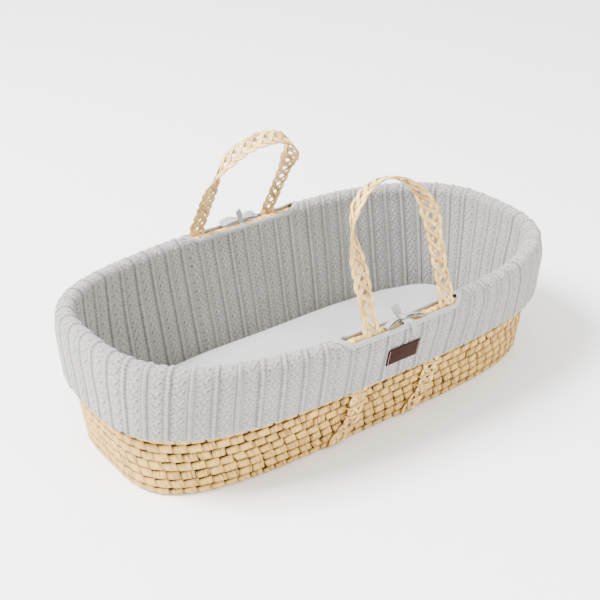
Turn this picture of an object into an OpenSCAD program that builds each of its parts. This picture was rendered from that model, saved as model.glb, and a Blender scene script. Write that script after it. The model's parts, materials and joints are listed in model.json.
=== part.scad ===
// Moses basket: a woven palm basket with a padded knit cover, a mattress and two plaited carry handles.
// Frame: +X towards the foot end, -X towards the raised head end, -Y the labelled front, +Z up.
// The origin is on the floor under the middle of the basket.

/* [Basket] */
// Length over the rolled rim
rim_length = 830; // [780:5:870]
// Width over the rolled rim
rim_width = 438; // [410:2:460]
// Height of the palm wall's top edge at the middle of the sides
wall_height = 198; // [190:1:214]
// Extra height of the rim at the head end
head_rise = 19; // [0:1:30]
// Length of the palm base on the floor
base_length = 764; // [720:4:776]
// Width of the palm base on the floor
base_width = 328; // [310:2:340]
// Squareness of the base outline, where 2 is an ellipse
base_square = 3.8; // [3:0.1:4]
// Squareness of the rim outline, where 2 is an ellipse
rim_square = 2.75; // [2.4:0.05:3.2]
// Rows of plaited palm up the wall
row_count = 12; // [8:1:14]
// Thickness of the plaited palm wall
wall_t = 6; // [5:0.5:7]
// Thickness of the palm floor
floor_t = 9; // [8:0.5:10]

/* [Knit cover] */
// Height of the skirt's hem above the floor
hem_z = 114; // [100:1:130]
// Thickness of the cable knit
knit_t = 4; // [3:0.5:5]
// Outside radius of the padded roll over the rim
fold_r = 13; // [12:0.5:14]
// Thickness of the padding between wall and knit
wadding_t = 4.2; // [3:0.2:4.6]
// Half length of a handle slot, as degrees round the rim
slot_half = 14; // [13.6:0.1:15]

/* [Handles] */
// Distance between the two legs of a handle
leg_spacing = 144; // [130:1:146]
// Shift of the front legs to the foot end, and of the back legs to the head end
leg_shift = 10; // [0:1:10]
// Width of the plaited strap
strap_w = 30; // [24:1:30]
// Thickness of the strap on the wall and under the base
strap_t = 5; // [4:0.5:5]
// Thickness of the plait in the handles
plait_t = 7; // [5:0.5:7]
// Height of a handle above its hinge line
handle_h = 204; // [180:2:210]
// Straight part of each handle leg
leg_straight = 130; // [60:2:140]
// Lean of the front handle over the basket
front_lean = 20; // [0:1:25]
// Lean of the back handle over the basket
back_lean = 30; // [0:1:32]

/* [Mattress] */
// Length of the mattress
mattress_length = 720; // [690:2:722]
// Width of the mattress
mattress_width = 282; // [260:2:284]
// Thickness of the mattress at its edge
mattress_t = 25; // [20:1:45]
// Crown of the mattress at its middle
mattress_crown = 6; // [0:1:10]

/* [Label] */
// Width of the leather label
label_w = 60; // [40:1:64]
// Height of the leather label
label_h = 29; // [20:1:32]

/* [Hidden] */

palm_colour = "#cdb07c";
pale_palm = "#dcc598";
knit_colour = "#b9b8b5";
binding_colour = "#c9c8c4";
wadding_colour = "#eeeeea";
sheet_colour = "#dfdfe2";
leather_colour = "#4a2c25";
thread_colour = "#d8cdb8";

FRONT = -90;            // angle of the front side on the outline
BACK = 90;
HEAD = 180;
FOOT = 0;
gap = 0.3;              // clearance between neighbouring pieces
soft_gap = 0.9;         // clearance round the padding, where flat faces meet curved ones
end_steps = 24;         // stations round one end
slot_steps = 12;        // stations along one handle slot
roll_r = 6;             // palm roll that sits on the wall's top edge
roll_out = -4;          // its centre, from the wall's outer face
fold_out = -3;          // centre of the padded roll
roll_z = wall_height + gap + roll_r;
top_half_l = rim_length / 2 - fold_r - fold_out;
top_half_w = rim_width / 2 - fold_r - fold_out;
base_half_l = base_length / 2;
base_half_w = base_width / 2;
row_h = wall_height / row_count;
groove = 1.2;           // depth of the groove between two rows
foot_r = 10;            // rounding under the wall's lowest row
floor_in = 8.2;         // the palm floor's top edge, in from the outline
foot_in_share = 0.8;    // how far that rounding draws the lowest row in
skirt_out = 8;          // wall to the inside of the skirt
hem_out = 7;            // wall to the inside of the hem
elastic_h = 8;
elastic_t = 1;
inner_out = -wall_t - 2 * soft_gap - wadding_t;
liner_t = 1;
liner_z = floor_t + gap;
liner_in = 16;          // the liner's edge, in from the outline
mattress_z = liner_z + liner_t + gap;
inner_low = 12;         // lower edge of the inner knit
wadding_top = wall_height - 6;
skirt_full_z = hem_z + 34;
lip_z = wall_height + 9; // knit edge along a handle slot
binding_h = 5;
binding_w = 5;
hinge_out = 4.9;         // the hinge line, from the wall's outer face
hinge_r = plait_t / 2 + 0.3;
hinge_z = lip_z + binding_h + hinge_r + 1.5;
strap_in = 0.5;         // wall to the inside of the strap
strap_bend = 12;        // bend of the strap under the base
strap_low = 0.4 + strap_t / 2;
channel_open = 2;       // the strap's channel cuts through the underside by this much
strap_veer = 37;        // the front legs run towards the head end near the floor
veer_z = 55;
stitch_out = 6.3;
stitch_heights = [44, 72, 100];
stitch_t = 1;
stitch_h = 1.6;
low_centre = 3;         // the strap's centre lies this far out low on the wall ...
flare_from = 150;       // ... and moves out to the hinge line over this stretch
flare_h = 45;
leg_foot = 34;          // lowest straight station of a strap leg
leg_steps = 12;
lash_r = 0.5;
lash_gap = 0.7;         // between the roll and its lashing
lash_turn = 250;        // how far a lashing reaches round the roll
twist_low = 90;         // the plait turns from flat against the wall ...
twist_high = 190;       // ... to flat side up between these heights

// ---- outline of the basket ----

// Share of the way up the wall, held at 1 over the rim
function up(z) = min(1, max(0, z) / roll_z);
function half_l(z) = base_half_l + (top_half_l - base_half_l) * up(z);
function half_w(z) = base_half_w + (top_half_w - base_half_w) * up(z);
function square(z) = base_square + (rim_square - base_square) * up(z);

// A point on a rounded oval, at angle u
function oval(u, a, b, n) =
    let(k = pow(pow(abs(cos(u)), n) + pow(abs(sin(u)), n), -1 / n))
    [a * k * cos(u), b * k * sin(u)];

// How much the head end lifts a point that lies above the hem
function lift(u, z) = head_rise * pow(max(0, -cos(u)), 3) * max(0, z - hem_z) / (roll_z - hem_z);

// A point at angle u and height z, a distance out from the wall's outer face
function wall_at(u, z, out) =
    let(p = oval(u, half_l(z) + out, half_w(z) + out, square(z)))
    [p[0], p[1], z + lift(u, z)];

// Distance from the middle line to the wall at a given x
function side_y(x, z, out) =
    (half_w(z) + out) * pow(1 - pow(abs(x) / (half_l(z) + out), square(z)), 1 / square(z));

// The stations round an end, along a slot, and round the whole outline
function end_angles(middle) = steps(middle - 90 + slot_half, middle + 90 - slot_half, end_steps);
function slot_angles(middle) = steps(middle - slot_half, middle + slot_half, slot_steps);
function but_last(list) = [for (i = [0 : len(list) - 2]) list[i]];
function round_angles() = concat(but_last(end_angles(FOOT)), but_last(slot_angles(BACK)),
    but_last(end_angles(HEAD)), but_last(slot_angles(360 + FRONT)));

function steps(a, b, n) = [for (i = [0 : n]) a + (b - a) * i / n];
function reversed(list) = [for (i = [len(list) - 1 : -1 : 0]) list[i]];
function smooth(t) = let(c = min(1, max(0, t))) c * c * (3 - 2 * c);

// Two triangles for each quad of a grid of rings, w points a ring
function grid_faces(rings, w, closed) = [for (i = [0 : closed ? rings - 1 : rings - 2])
    for (j = [0 : w - 1]) for (t = [0, 1])
        let(a = i * w + j, b = i * w + (j + 1) % w)
        let(c = ((i + 1) % rings) * w + j, d = ((i + 1) % rings) * w + (j + 1) % w)
        t == 0 ? [a, c, b] : [b, c, d]];

// ---- solids that follow the outline ----

// Heights of the points up any layer inside the wall, the same for all, so the layers stay parallel
function inner_heights(low, high) = [low, 60, hem_z, 155, high];

// A shell between two lines of [z, out] points, carried round the wall through the angles us
module shell(us, outer, inner) {
    m = len(outer);
    w = 2 * m;
    profile = concat(outer, reversed(inner));
    points = [for (u = us) for (p = profile) wall_at(u, p[0], p[1])];
    end = (len(us) - 1) * w;
    first = [for (j = [0 : m - 2]) for (t = [0, 1])
        t == 0 ? [j, j + 1, w - 1 - j] : [j + 1, w - 2 - j, w - 1 - j]];
    last = [for (f = first) [end + f[0], end + f[2], end + f[1]]];
    polyhedron(points, concat(grid_faces(len(us), w, false), first, last));
}

// A closed ring of the [z, out] profile, all the way round
module ring(profile) {
    us = round_angles();
    points = [for (u = us) for (p = profile) wall_at(u, p[0], p[1])];
    polyhedron(points, grid_faces(len(us), len(profile), true));
}

// A solid of stacked ovals: each layer is [z, inset from the half sizes a and b]
module stack(layers, a, b, n) {
    us = round_angles();
    count = len(us);
    points = [for (l = layers) for (u = us)
        let(p = oval(u, a - l[1], b - l[1], n)) [p[0], p[1], l[0]]];
    low = [for (j = [0 : count - 1]) j];
    high = [for (j = [count - 1 : -1 : 0]) (len(layers) - 1) * count + j];
    polyhedron(points, concat([low], grid_faces(len(layers), count, false), [high]));
}

// A bar through stations, each station a list of four corners in the same order
module bar(stations) {
    w = len(stations[0]);
    end = (len(stations) - 1) * w;
    points = [for (s = stations) for (p = s) p];
    low = [for (j = [0 : w - 1]) j];
    high = [for (j = [w - 1 : -1 : 0]) end + j];
    polyhedron(points, concat([low], grid_faces(len(stations), w, false), [high]));
}

// ---- palm basket ----

// Each row swells a little between two grooves; the lowest one rounds under to the floor
function foot_in(z) = z >= foot_r ? 0
    : foot_in_share * (foot_r - sqrt(foot_r * foot_r - pow(foot_r - z, 2)));
function row_line() = concat([[0, -foot_r + 2]],
    [for (i = [0 : row_count - 1]) for (h = [0.12, 0.5, 0.88])
        let(z = (i + h) * row_h) [z, (h == 0.5 ? 0 : -groove) - foot_in(z)]],
    [[wall_height, -groove]]);
function row_back() = concat([for (z = [0, 2, 5, 9]) [z, -wall_t - foot_in(z)]],
    [for (z = inner_heights(inner_low + 1, wall_height)) [z, -wall_t]]);

module palm_wall() {
    color(palm_colour)
    difference() {
        ring(concat(row_line(), reversed(row_back())));
        strap(1, gap);
        strap(-1, gap);
    }
}

module palm_floor() {
    color(palm_colour)
    difference() {
        stack([[0, floor_in + 8.2], [2, floor_in + 4.2], [5, floor_in + 0.8], [floor_t, floor_in]],
            base_half_l, base_half_w, base_square);
        strap(1, gap);
        strap(-1, gap);
    }
}

// The roll of palm that finishes the top edge
module rim_roll() {
    color(pale_palm)
    ring([for (a = [0 : 45 : 315]) [roll_z + roll_r * sin(a), roll_out + roll_r * cos(a)]]);
}

// The lashing leaves the handle slots free for the straps and the ties
function lashed(x) = abs(x) > leg_shift + (leg_spacing + strap_w) / 2 + 2;

// Loops of palm strip that bind the roll
module rim_lashing() {
    color(palm_colour)
    for (u = round_angles())
        let(p = wall_at(u, roll_z, roll_out))
        if (lashed(p[0]))
        translate(p)
        scale([1, 1, 1 + lift(u, roll_z) / (roll_z - hem_z)])
        rotate([0, 0, heading(u)])
        rotate([90, 0, 0])
        rotate([0, 0, 90 - lash_turn / 2])
        rotate_extrude(angle = lash_turn, $fn = 32)
        translate([roll_r + lash_r + lash_gap, 0])
        circle(r = lash_r, $fn = 16);
}

// Direction that faces out of the wall at angle u
function heading(u) =
    let(d = wall_at(u + 1, roll_z, 0) - wall_at(u - 1, roll_z, 0))
    atan2(d[1], d[0]) - 90;

// ---- carry straps: down the front wall, under the base and up the back wall ----

function leg_x(end, face) = -face * leg_shift + end * leg_spacing / 2;
function strap_centre(z) = strap_in + strap_t / 2
    + (hinge_out - low_centre) * smooth((z - flare_from) / flare_h);
function veer(z) = strap_veer * pow(max(0, 1 - z / veer_z), 1.3);

// Four corners of the strap where it lies on the wall; face is -1 in front and 1 behind
function leg_station(x, z, face, grow) = [for (c = [[-1, -1], [1, -1], [1, 1], [-1, 1]])
    let(px = x + c[0] * (strap_w / 2 + grow))
    [px, face * side_y(px, z, strap_centre(z) + c[1] * (strap_t / 2 + grow)), z]];

// Four corners on the bend under the base, a degrees round from the wall
function bend_station(x, a, face, grow) = [for (c = [[-1, -1], [1, -1], [1, 1], [-1, 1]])
    let(below = grow > 0 && c[1] > 0 ? channel_open : 0, z0 = strap_low + strap_bend)
    let(r = strap_bend + c[1] * (strap_t / 2 + grow) + below)
    [x + c[0] * (strap_w / 2 + grow),
        face * (side_y(x, z0, strap_centre(z0)) - strap_bend + r * cos(a)), z0 - r * sin(a)]];

module strap(end, grow = 0) {
    top = hinge_z - hinge_r - gap + grow;
    z0 = strap_low + strap_bend;
    heights = concat([top, roll_z], steps(wall_height, leg_foot, leg_steps));
    front_x = leg_x(end, -1);
    back_x = leg_x(end, 1);
    front = [for (z = heights) leg_station(front_x - veer(z), z, -1, grow)];
    front_bend = [for (a = [0 : 30 : 90]) bend_station(front_x - veer(z0), a, -1, grow)];
    back_bend = [for (a = [90 : -30 : 0]) bend_station(back_x, a, 1, grow)];
    back = [for (z = reversed(heights)) leg_station(back_x, z, 1, grow)];
    bar(concat(front, front_bend, back_bend, back));
}

module strap_head() {
    color(pale_palm)
    strap(-1);
}

module strap_foot() {
    color(pale_palm)
    strap(1);
}

// Palm stitches that hold the strap legs to the wall below the hem
module strap_stitches(face) {
    for (end = [-1, 1])
        for (z = stitch_heights)
            let(x = leg_x(end, face) - (face < 0 ? veer(z) : 0))
            let(y = face * side_y(x, z, stitch_out))
            translate([x, y, z])
            cube([strap_w + 4, stitch_t, stitch_h], center = true);
}

module strap_stitches_front() {
    color(palm_colour)
    strap_stitches(-1);
}

module strap_stitches_back() {
    color(palm_colour)
    strap_stitches(1);
}

// ---- knit cover: inner panels, padded roll over the rim, and outer skirt ----

// Skirt, roll and inner wall as one line; t is the distance in from the knit's outer face
function skirt_line(t) = [[hem_z, hem_out + knit_t - t], [hem_z + 12, hem_out + knit_t + 1.5 - t],
    [skirt_full_z, skirt_out + knit_t - t]];
function cover_line(t) = concat(skirt_line(t), [[wall_height - 14, skirt_out + knit_t - t]],
    [for (a = [0 : 30 : 180]) [roll_z + (fold_r - t) * sin(a), fold_out + (fold_r - t) * cos(a)]],
    [for (z = reversed(inner_heights(inner_low, wadding_top))) [z, inner_out - knit_t + t]]);

module cover_end(middle) {
    shell(end_angles(middle), cover_line(0), cover_line(knit_t));
}

module cover_outer(middle) {
    shell(slot_angles(middle), concat(skirt_line(0), [[lip_z, skirt_out + knit_t]]),
        concat(skirt_line(knit_t), [[lip_z, skirt_out]]));
}

module cover_inner(middle) {
    z = inner_heights(inner_low, lip_z);
    shell(slot_angles(middle), [for (h = z) [h, inner_out]], [for (h = z) [h, inner_out - knit_t]]);
}

module cover_head() {
    color(knit_colour)
    cover_end(HEAD);
}

module cover_foot() {
    color(knit_colour)
    cover_end(FOOT);
}

module cover_front_outer() {
    color(knit_colour)
    cover_outer(FRONT);
}

module cover_front_inner() {
    color(knit_colour)
    cover_inner(FRONT);
}

module cover_back_outer() {
    color(knit_colour)
    cover_outer(BACK);
}

module cover_back_inner() {
    color(knit_colour)
    cover_inner(BACK);
}

// Padding between the palm wall and the inner knit
module wadding(us) {
    out = -wall_t - soft_gap;
    z = inner_heights(inner_low + 1, wadding_top);
    color(wadding_colour)
    shell(us, [for (h = z) [h, out]], [for (h = z) [h, out - wadding_t]]);
}

module wadding_head() {
    wadding(end_angles(HEAD));
}

module wadding_foot() {
    wadding(end_angles(FOOT));
}

module wadding_front() {
    wadding(slot_angles(FRONT));
}

module wadding_back() {
    wadding(slot_angles(BACK));
}

// Flat elastic inside the hem
module hem_elastic() {
    color(binding_colour)
    ring([[hem_z + 2, hem_out - gap - elastic_t], [hem_z + 2, hem_out - gap],
        [hem_z + 2 + elastic_h, hem_out - gap], [hem_z + 2 + elastic_h, hem_out - gap - elastic_t]]);
}

module liner_floor() {
    color(binding_colour)
    stack([[liner_z, liner_in], [liner_z + liner_t, liner_in]], base_half_l, base_half_w, base_square);
}

// ---- handle slots ----

// Cotton binding over a knit edge, its middle at a distance out from the wall
module binding(middle, out) {
    half = binding_w / 2;
    color(binding_colour)
    shell(slot_angles(middle), [[lip_z, out + half], [lip_z + binding_h * 0.6, out + half],
        [lip_z + binding_h, out + half * 0.4]],
        [[lip_z, out - half], [lip_z + binding_h * 0.6, out - half],
        [lip_z + binding_h, out - half * 0.4]]);
}

module binding_front_outer() {
    binding(FRONT, skirt_out + knit_t / 2 + 0.4);
}

module binding_front_inner() {
    binding(FRONT, inner_out - knit_t / 2 - 0.8);
}

module binding_back_outer() {
    binding(BACK, skirt_out + knit_t / 2 + 0.4);
}

module binding_back_inner() {
    binding(BACK, inner_out - knit_t / 2 - 0.8);
}

// A tape over the roll, tied in a bow on top
module bow(face) {
    tape_w = 9;
    tape_t = 1;
    tape_r = roll_r + 0.8;
    knot_r = 4;
    loop_r = 5;
    loop_long = 1.8;
    leg = 8;
    top = tape_r + tape_t;
    y = face * side_y(0, roll_z, roll_out);
    color(binding_colour)
    translate([0, y, roll_z]) {
        rotate([90, 0, 90])
        translate([0, 0, -tape_w / 2])
        linear_extrude(tape_w) {
            difference() {
                circle(r = top, $fn = 48);
                circle(r = tape_r, $fn = 48);
                translate([-20, -40])
                square([40, 40]);
            }
            for (side = [-1, 1])
                translate([side * (tape_r + tape_t / 2) - tape_t / 2, -leg])
                square([tape_t, leg]);
        }
        translate([-knot_r - 1, 0, top + knot_r - 0.4])
        rotate([0, 90, 0])
        cylinder(h = 2 * knot_r + 2, r = knot_r, $fn = 32);
        for (side = [-1, 1]) {
            translate([side * (knot_r + loop_r * loop_long), 0, top + knot_r - 0.4])
            scale([loop_long, 1, 1])
            rotate([90, 0, 0])
            rotate_extrude($fn = 48)
            translate([loop_r - tape_t, -tape_w / 2 + 1])
            square([tape_t, tape_w - 2]);
            translate([side * 19, face * 5, top + 0.8])
            rotate([0, 0, side * face * 14])
            cube([30, tape_w - 2, tape_t], center = true);
        }
    }
}

module tie_front() {
    bow(-1);
}

module tie_back() {
    bow(1);
}

// ---- label ----

label_z = hem_z + 32;
label_out = skirt_out + knit_t + gap;
label_t = 1.6;
label_turn = asin(label_w / 2 / half_l(label_z));

module label() {
    z = [label_z, label_z + label_h];
    color(leather_colour)
    shell(steps(FRONT - label_turn, FRONT + label_turn, 4), [for (h = z) [h, label_out + label_t]],
        [for (h = z) [h, label_out]]);
}

// Short stitches near the label's edge
module label_stitches() {
    across = label_w / 2 - 3;
    color(thread_colour)
    for (x = steps(-across, across, 8))
        for (z = [label_z + 3, label_z + label_h - 3])
            translate([x, -side_y(x, z, label_out + label_t + 0.6), z])
            cube([4, 0.7, 0.8], center = true);
}

// ---- handles ----

// The loop's middle line as [x, height], up one leg, over the top and down the other
function loop_line() = concat([for (h = steps(0, leg_straight, 6)) [-leg_spacing / 2, h]],
    [for (a = [165 : -15 : 15])
        [leg_spacing / 2 * cos(a), leg_straight + (handle_h - leg_straight) * sin(a)]],
    [for (h = steps(leg_straight, 0, 6)) [leg_spacing / 2, h]]);

function loop_station(line, i) =
    let(p = line[i], a = line[max(0, i - 1)], b = line[min(len(line) - 1, i + 1)])
    let(run = norm(b - a), t = (b - a) / run)
    let(twist = 90 * smooth((p[1] - twist_low) / (twist_high - twist_low)))
    [for (c = [[-1, -1], [1, -1], [1, 1], [-1, 1]])
        let(w = c[0] * strap_w / 2, h = c[1] * plait_t / 2)
        let(q = w * cos(twist) - h * sin(twist), y = w * sin(twist) + h * cos(twist))
        [p[0] + q * t[1], y, p[1] - q * t[0]]];

module handle(face, lean) {
    line = loop_line();
    color(pale_palm)
    translate([-face * leg_shift, face * side_y(0, roll_z, hinge_out), hinge_z])
    rotate([face * lean, 0, 0]) {
        bar([for (i = [0 : len(line) - 1]) loop_station(line, i)]);
        for (end = [-1, 1])
            translate([end * leg_spacing / 2 - strap_w / 2, 0, 0])
            rotate([0, 90, 0])
            cylinder(h = strap_w, r = hinge_r, $fn = 32);
    }
}

module handle_front() {
    handle(-1, front_lean);
}

module handle_back() {
    handle(1, back_lean);
}

// ---- mattress ----

// Layers of the mattress's outer shape, drawn in by t
function mattress_layers(t) = [[mattress_z + t, 6 + t], [mattress_z + 2 + t, 1.5 + t],
    [mattress_z + 7, t], [mattress_z + mattress_t - 8, t], [mattress_z + mattress_t - 2 - t, 2 + t],
    [mattress_z + mattress_t - t, 7 + t],
    [mattress_z + mattress_t + mattress_crown * 0.55 - t, 38 + t],
    [mattress_z + mattress_t + mattress_crown * 0.9 - t, 80 + t],
    [mattress_z + mattress_t + mattress_crown - t, 115]];

module mattress_body(t) {
    stack(mattress_layers(t), mattress_length / 2, mattress_width / 2, base_square);
}

// A cover over the mattress, open under it inside a margin
module mattress_cover(t0, t1, margin) {
    difference() {
        mattress_body(t0);
        mattress_body(t1);
        stack([[mattress_z - 5, margin], [mattress_z + t1 + 2, margin]],
            mattress_length / 2, mattress_width / 2, base_square);
    }
}

module mattress_core() {
    color(wadding_colour)
    mattress_body(2.6);
}

module mattress_ticking() {
    color("white")
    mattress_cover(1.2, 2.4, 26);
}

module fitted_sheet() {
    color(sheet_colour)
    mattress_cover(0, 1, 30);
}

// Elastic in the sheet's lower edge
module sheet_elastic() {
    color("white")
    difference() {
        stack([[mattress_z, 30 + gap], [mattress_z + 1, 30 + gap]],
            mattress_length / 2, mattress_width / 2, base_square);
        stack([[mattress_z - 1, 34], [mattress_z + 2, 34]],
            mattress_length / 2, mattress_width / 2, base_square);
    }
}

palm_floor();
palm_wall();
rim_roll();
rim_lashing();
strap_head();
strap_foot();
strap_stitches_front();
strap_stitches_back();
wadding_head();
wadding_foot();
wadding_front();
wadding_back();
cover_head();
cover_foot();
cover_front_outer();
cover_front_inner();
cover_back_outer();
cover_back_inner();
hem_elastic();
liner_floor();
binding_front_outer();
binding_front_inner();
binding_back_outer();
binding_back_inner();
tie_front();
tie_back();
label();
label_stitches();
handle_front();
handle_back();
mattress_core();
mattress_ticking();
fitted_sheet();
sheet_elastic();
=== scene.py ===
"""Moses basket: the woven palm, plaited handles, knit cover, ties, label and mattress, in metres."""
import json
import math

import bmesh
import bpy
import numpy as np
from mathutils import Matrix, Vector

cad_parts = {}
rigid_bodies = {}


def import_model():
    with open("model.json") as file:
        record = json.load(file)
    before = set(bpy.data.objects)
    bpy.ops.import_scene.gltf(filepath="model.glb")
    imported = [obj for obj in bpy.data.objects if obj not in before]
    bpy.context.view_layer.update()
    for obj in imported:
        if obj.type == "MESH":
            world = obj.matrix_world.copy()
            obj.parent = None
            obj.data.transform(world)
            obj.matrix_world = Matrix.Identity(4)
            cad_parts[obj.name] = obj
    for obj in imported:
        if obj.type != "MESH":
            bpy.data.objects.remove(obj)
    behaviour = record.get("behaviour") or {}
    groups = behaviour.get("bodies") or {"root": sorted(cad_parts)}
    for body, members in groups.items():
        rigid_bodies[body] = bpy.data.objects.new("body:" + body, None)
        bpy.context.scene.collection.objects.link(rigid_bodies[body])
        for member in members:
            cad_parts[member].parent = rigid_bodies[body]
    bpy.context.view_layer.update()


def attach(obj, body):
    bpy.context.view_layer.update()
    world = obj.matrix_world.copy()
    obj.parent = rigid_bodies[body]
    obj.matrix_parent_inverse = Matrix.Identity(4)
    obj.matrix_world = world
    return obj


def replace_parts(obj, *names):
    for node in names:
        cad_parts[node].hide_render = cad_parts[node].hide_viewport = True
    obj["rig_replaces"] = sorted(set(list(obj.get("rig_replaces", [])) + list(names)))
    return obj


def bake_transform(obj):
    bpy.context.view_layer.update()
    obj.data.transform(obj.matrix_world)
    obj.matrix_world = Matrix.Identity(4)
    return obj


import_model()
bpy.ops.object.select_all(action="DESELECT")

# ---------------------------------------------------------------- sizes, as the frame has them
MM = 0.001

# palm wall and floor
RIM_LENGTH = 0.830
RIM_WIDTH = 0.438
WALL_H = 0.198
HEAD_RISE = 0.019
BASE_LENGTH = 0.764
BASE_WIDTH = 0.328
BASE_SQUARE = 3.8   # 2 is an ellipse, more is squarer
RIM_SQUARE = 2.75
ROWS = 12
FLOOR_RINGS = 9
WRAP_PITCH = 0.0205
FOOT_R = 0.010      # rounding under the lowest row
FOOT_SHARE = 0.8
SEED_WALL = 40
SEED_FLOOR = 70

# rim and knit cover; _OUT is a distance out from the wall's face
ROLL_R = 0.006
ROLL_OUT = -0.004
ROLL_Z = WALL_H + 0.0063
FOLD_R = 0.013      # padded roll over the rim
FOLD_OUT = -0.003
HEM_Z = 0.114
SKIRT_OUT = 0.012
SLOT_CLOSE = 13.2   # degrees from a slot's middle to where its lips begin to close
SLOT_END = 16.8     # and to its end

# straps and handles
HINGE_OUT = 0.0053
STRAP_OUT = 0.0030
HINGE_Z = 0.2173
LEG_SPACING = 0.144
LEG_SHIFT = 0.010   # front legs to the foot end, back legs to the head end
LEG_STRAIGHT = 0.130
HANDLE_H = 0.204
STRAP_T = 0.005
STRAP_BEND = 0.012
STRAP_LOW = 0.0004 + STRAP_T / 2
VEER = 0.037        # how far the front legs veer below VEER_Z
VEER_Z = 0.055
TWIST_LOW = 0.090   # the plait turns on edge between these heights
TWIST_HIGH = 0.190
LEAN = {-1: math.radians(20), 1: math.radians(30)}

# label: width, thickness, height
LABEL_SIZE = (0.060, 0.0018, 0.0295)
LABEL_Z = 0.1605

ROW_H = WALL_H / ROWS
TOP_L = RIM_LENGTH / 2 - FOLD_R - FOLD_OUT
TOP_W = RIM_WIDTH / 2 - FOLD_R - FOLD_OUT


# ---------------------------------------------------------------- the basket's outline
def up(z):
    """Height as a share of the way up to the rim roll."""
    return np.clip(np.asarray(z, float) / ROLL_Z, 0, 1)


def half_l(z):
    """Half the wall's length at a height."""
    return BASE_LENGTH / 2 + (TOP_L - BASE_LENGTH / 2) * up(z)


def half_w(z):
    """Half the wall's width at a height."""
    return BASE_WIDTH / 2 + (TOP_W - BASE_WIDTH / 2) * up(z)


def square(z):
    """Squareness of the outline at a height."""
    return BASE_SQUARE + (RIM_SQUARE - BASE_SQUARE) * up(z)


def round_outline(u, n):
    """The unit outline at angles u (degrees) for squareness n: cosine, sine and how far out it lies."""
    c, s = np.cos(np.radians(u)), np.sin(np.radians(u))
    return c, s, (np.abs(c) ** n + np.abs(s) ** n) ** (-1 / n)


def wall_at(u, z, out):
    """Points at angle u (degrees) and height z, a distance out from the palm wall's face."""
    u, z, out = np.broadcast_arrays(np.asarray(u, float), np.asarray(z, float), np.asarray(out, float))
    c, s, k = round_outline(u, square(z))
    lift = HEAD_RISE * np.maximum(0, -c) ** 3 * np.maximum(0, z - HEM_Z) / (ROLL_Z - HEM_Z)
    return np.stack([(half_l(z) + out) * k * c, (half_w(z) + out) * k * s, z + lift], -1)


def foot_in(z):
    """How far the lowest row rounds in under the wall."""
    drop = np.maximum(0, FOOT_R - np.asarray(z, float))
    return FOOT_SHARE * (FOOT_R - np.sqrt(FOOT_R ** 2 - np.minimum(drop, FOOT_R) ** 2))


def side_y(x, z, out):
    """Distance from the middle line to the long side of the wall."""
    n = square(z)
    return (half_w(z) + out) * (1 - (np.abs(x) / (half_l(z) + out)) ** n) ** (1 / n)


def smooth(t):
    """An eased step from 0 to 1."""
    t = np.clip(t, 0, 1)
    return t * t * (3 - 2 * t)


def run_along(line):
    """Length along a line of points to each of them."""
    return np.concatenate([[0], np.cumsum(np.linalg.norm(np.diff(line, axis=0), axis=1))])


def arc_table(z, out, low, high):
    """Angles round the outline and the length along it to each of them."""
    u = np.linspace(low, high, 2881)
    p = wall_at(u, z, out)
    return u, run_along(p)


# ---------------------------------------------------------------- meshes
def new_piece(name, points, faces, uv=None, **attributes):
    """A mesh piece from points and faces, with a uv map and float attributes for each point."""
    mesh = bpy.data.meshes.new(name)
    mesh.from_pydata([tuple(p) for p in np.asarray(points, float)], [], [tuple(map(int, f)) for f in faces])
    loops = np.zeros(len(mesh.loops), np.int32)
    mesh.loops.foreach_get("vertex_index", loops)
    if uv is not None:
        layer = mesh.uv_layers.new(name="cloth")
        layer.data.foreach_set("uv", np.asarray(uv, np.float32)[loops].ravel())
    for key, values in attributes.items():
        mesh.attributes.new(key, "FLOAT", "POINT").data.foreach_set("value", np.asarray(values, np.float32))
    mesh.polygons.foreach_set("use_smooth", [True] * len(mesh.polygons))
    mesh.update()
    obj = bpy.data.objects.new(name, mesh)
    bpy.context.scene.collection.objects.link(obj)
    return obj


def grid_faces(rows, cols, close_rows=False, close_cols=False):
    """Quads of a grid of points, rows x cols."""
    i, j = np.meshgrid(np.arange(rows if close_rows else rows - 1),
                       np.arange(cols if close_cols else cols - 1), indexing="ij")
    a = i * cols + j
    b = i * cols + (j + 1) % cols
    c = ((i + 1) % rows) * cols + (j + 1) % cols
    d = ((i + 1) % rows) * cols + j
    return np.stack([a, b, c, d], -1).reshape(-1, 4)


def resample(line, step):
    """The same line with evenly spaced points."""
    line = np.asarray(line, float)
    run = run_along(line[:, :3])
    at = np.linspace(0, run[-1], max(3, int(round(run[-1] / step)) + 1))
    return np.stack([np.interp(at, run, line[:, k]) for k in range(line.shape[1])], -1), at


def relaxed(values, times, closed=False):
    """A line of values smoothed by averaging each with its neighbours."""
    v = np.array(values, float)
    for _ in range(times):
        before, after = np.roll(v, 1, 0), np.roll(v, -1, 0)
        if not closed:
            before[0], after[-1] = v[0], v[-1]
        new = (before + 2 * v + after) / 4
        if not closed:
            new[0], new[-1] = v[0], v[-1]
        v = new
    return v


def unit(v):
    """Directions of length one."""
    return v / np.maximum(np.linalg.norm(v, axis=-1, keepdims=True), 1e-12)


def curve_through(points, steps):
    """A smooth line through the points (Catmull-Rom)."""
    p = np.asarray(points, float)
    p = np.concatenate([[2 * p[0] - p[1]], p, [2 * p[-1] - p[-2]]])
    out = []
    for i in range(1, len(p) - 2):
        t = np.linspace(0, 1, steps, endpoint=False)[:, None]
        a, b, c, d = p[i - 1], p[i], p[i + 1], p[i + 2]
        out.append(0.5 * (2 * b + (c - a) * t + (2 * a - 5 * b + 4 * c - d) * t ** 2
                          + (3 * b - a - 3 * c + d) * t ** 3))
    return np.concatenate(out + [p[-2:-1]])


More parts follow.
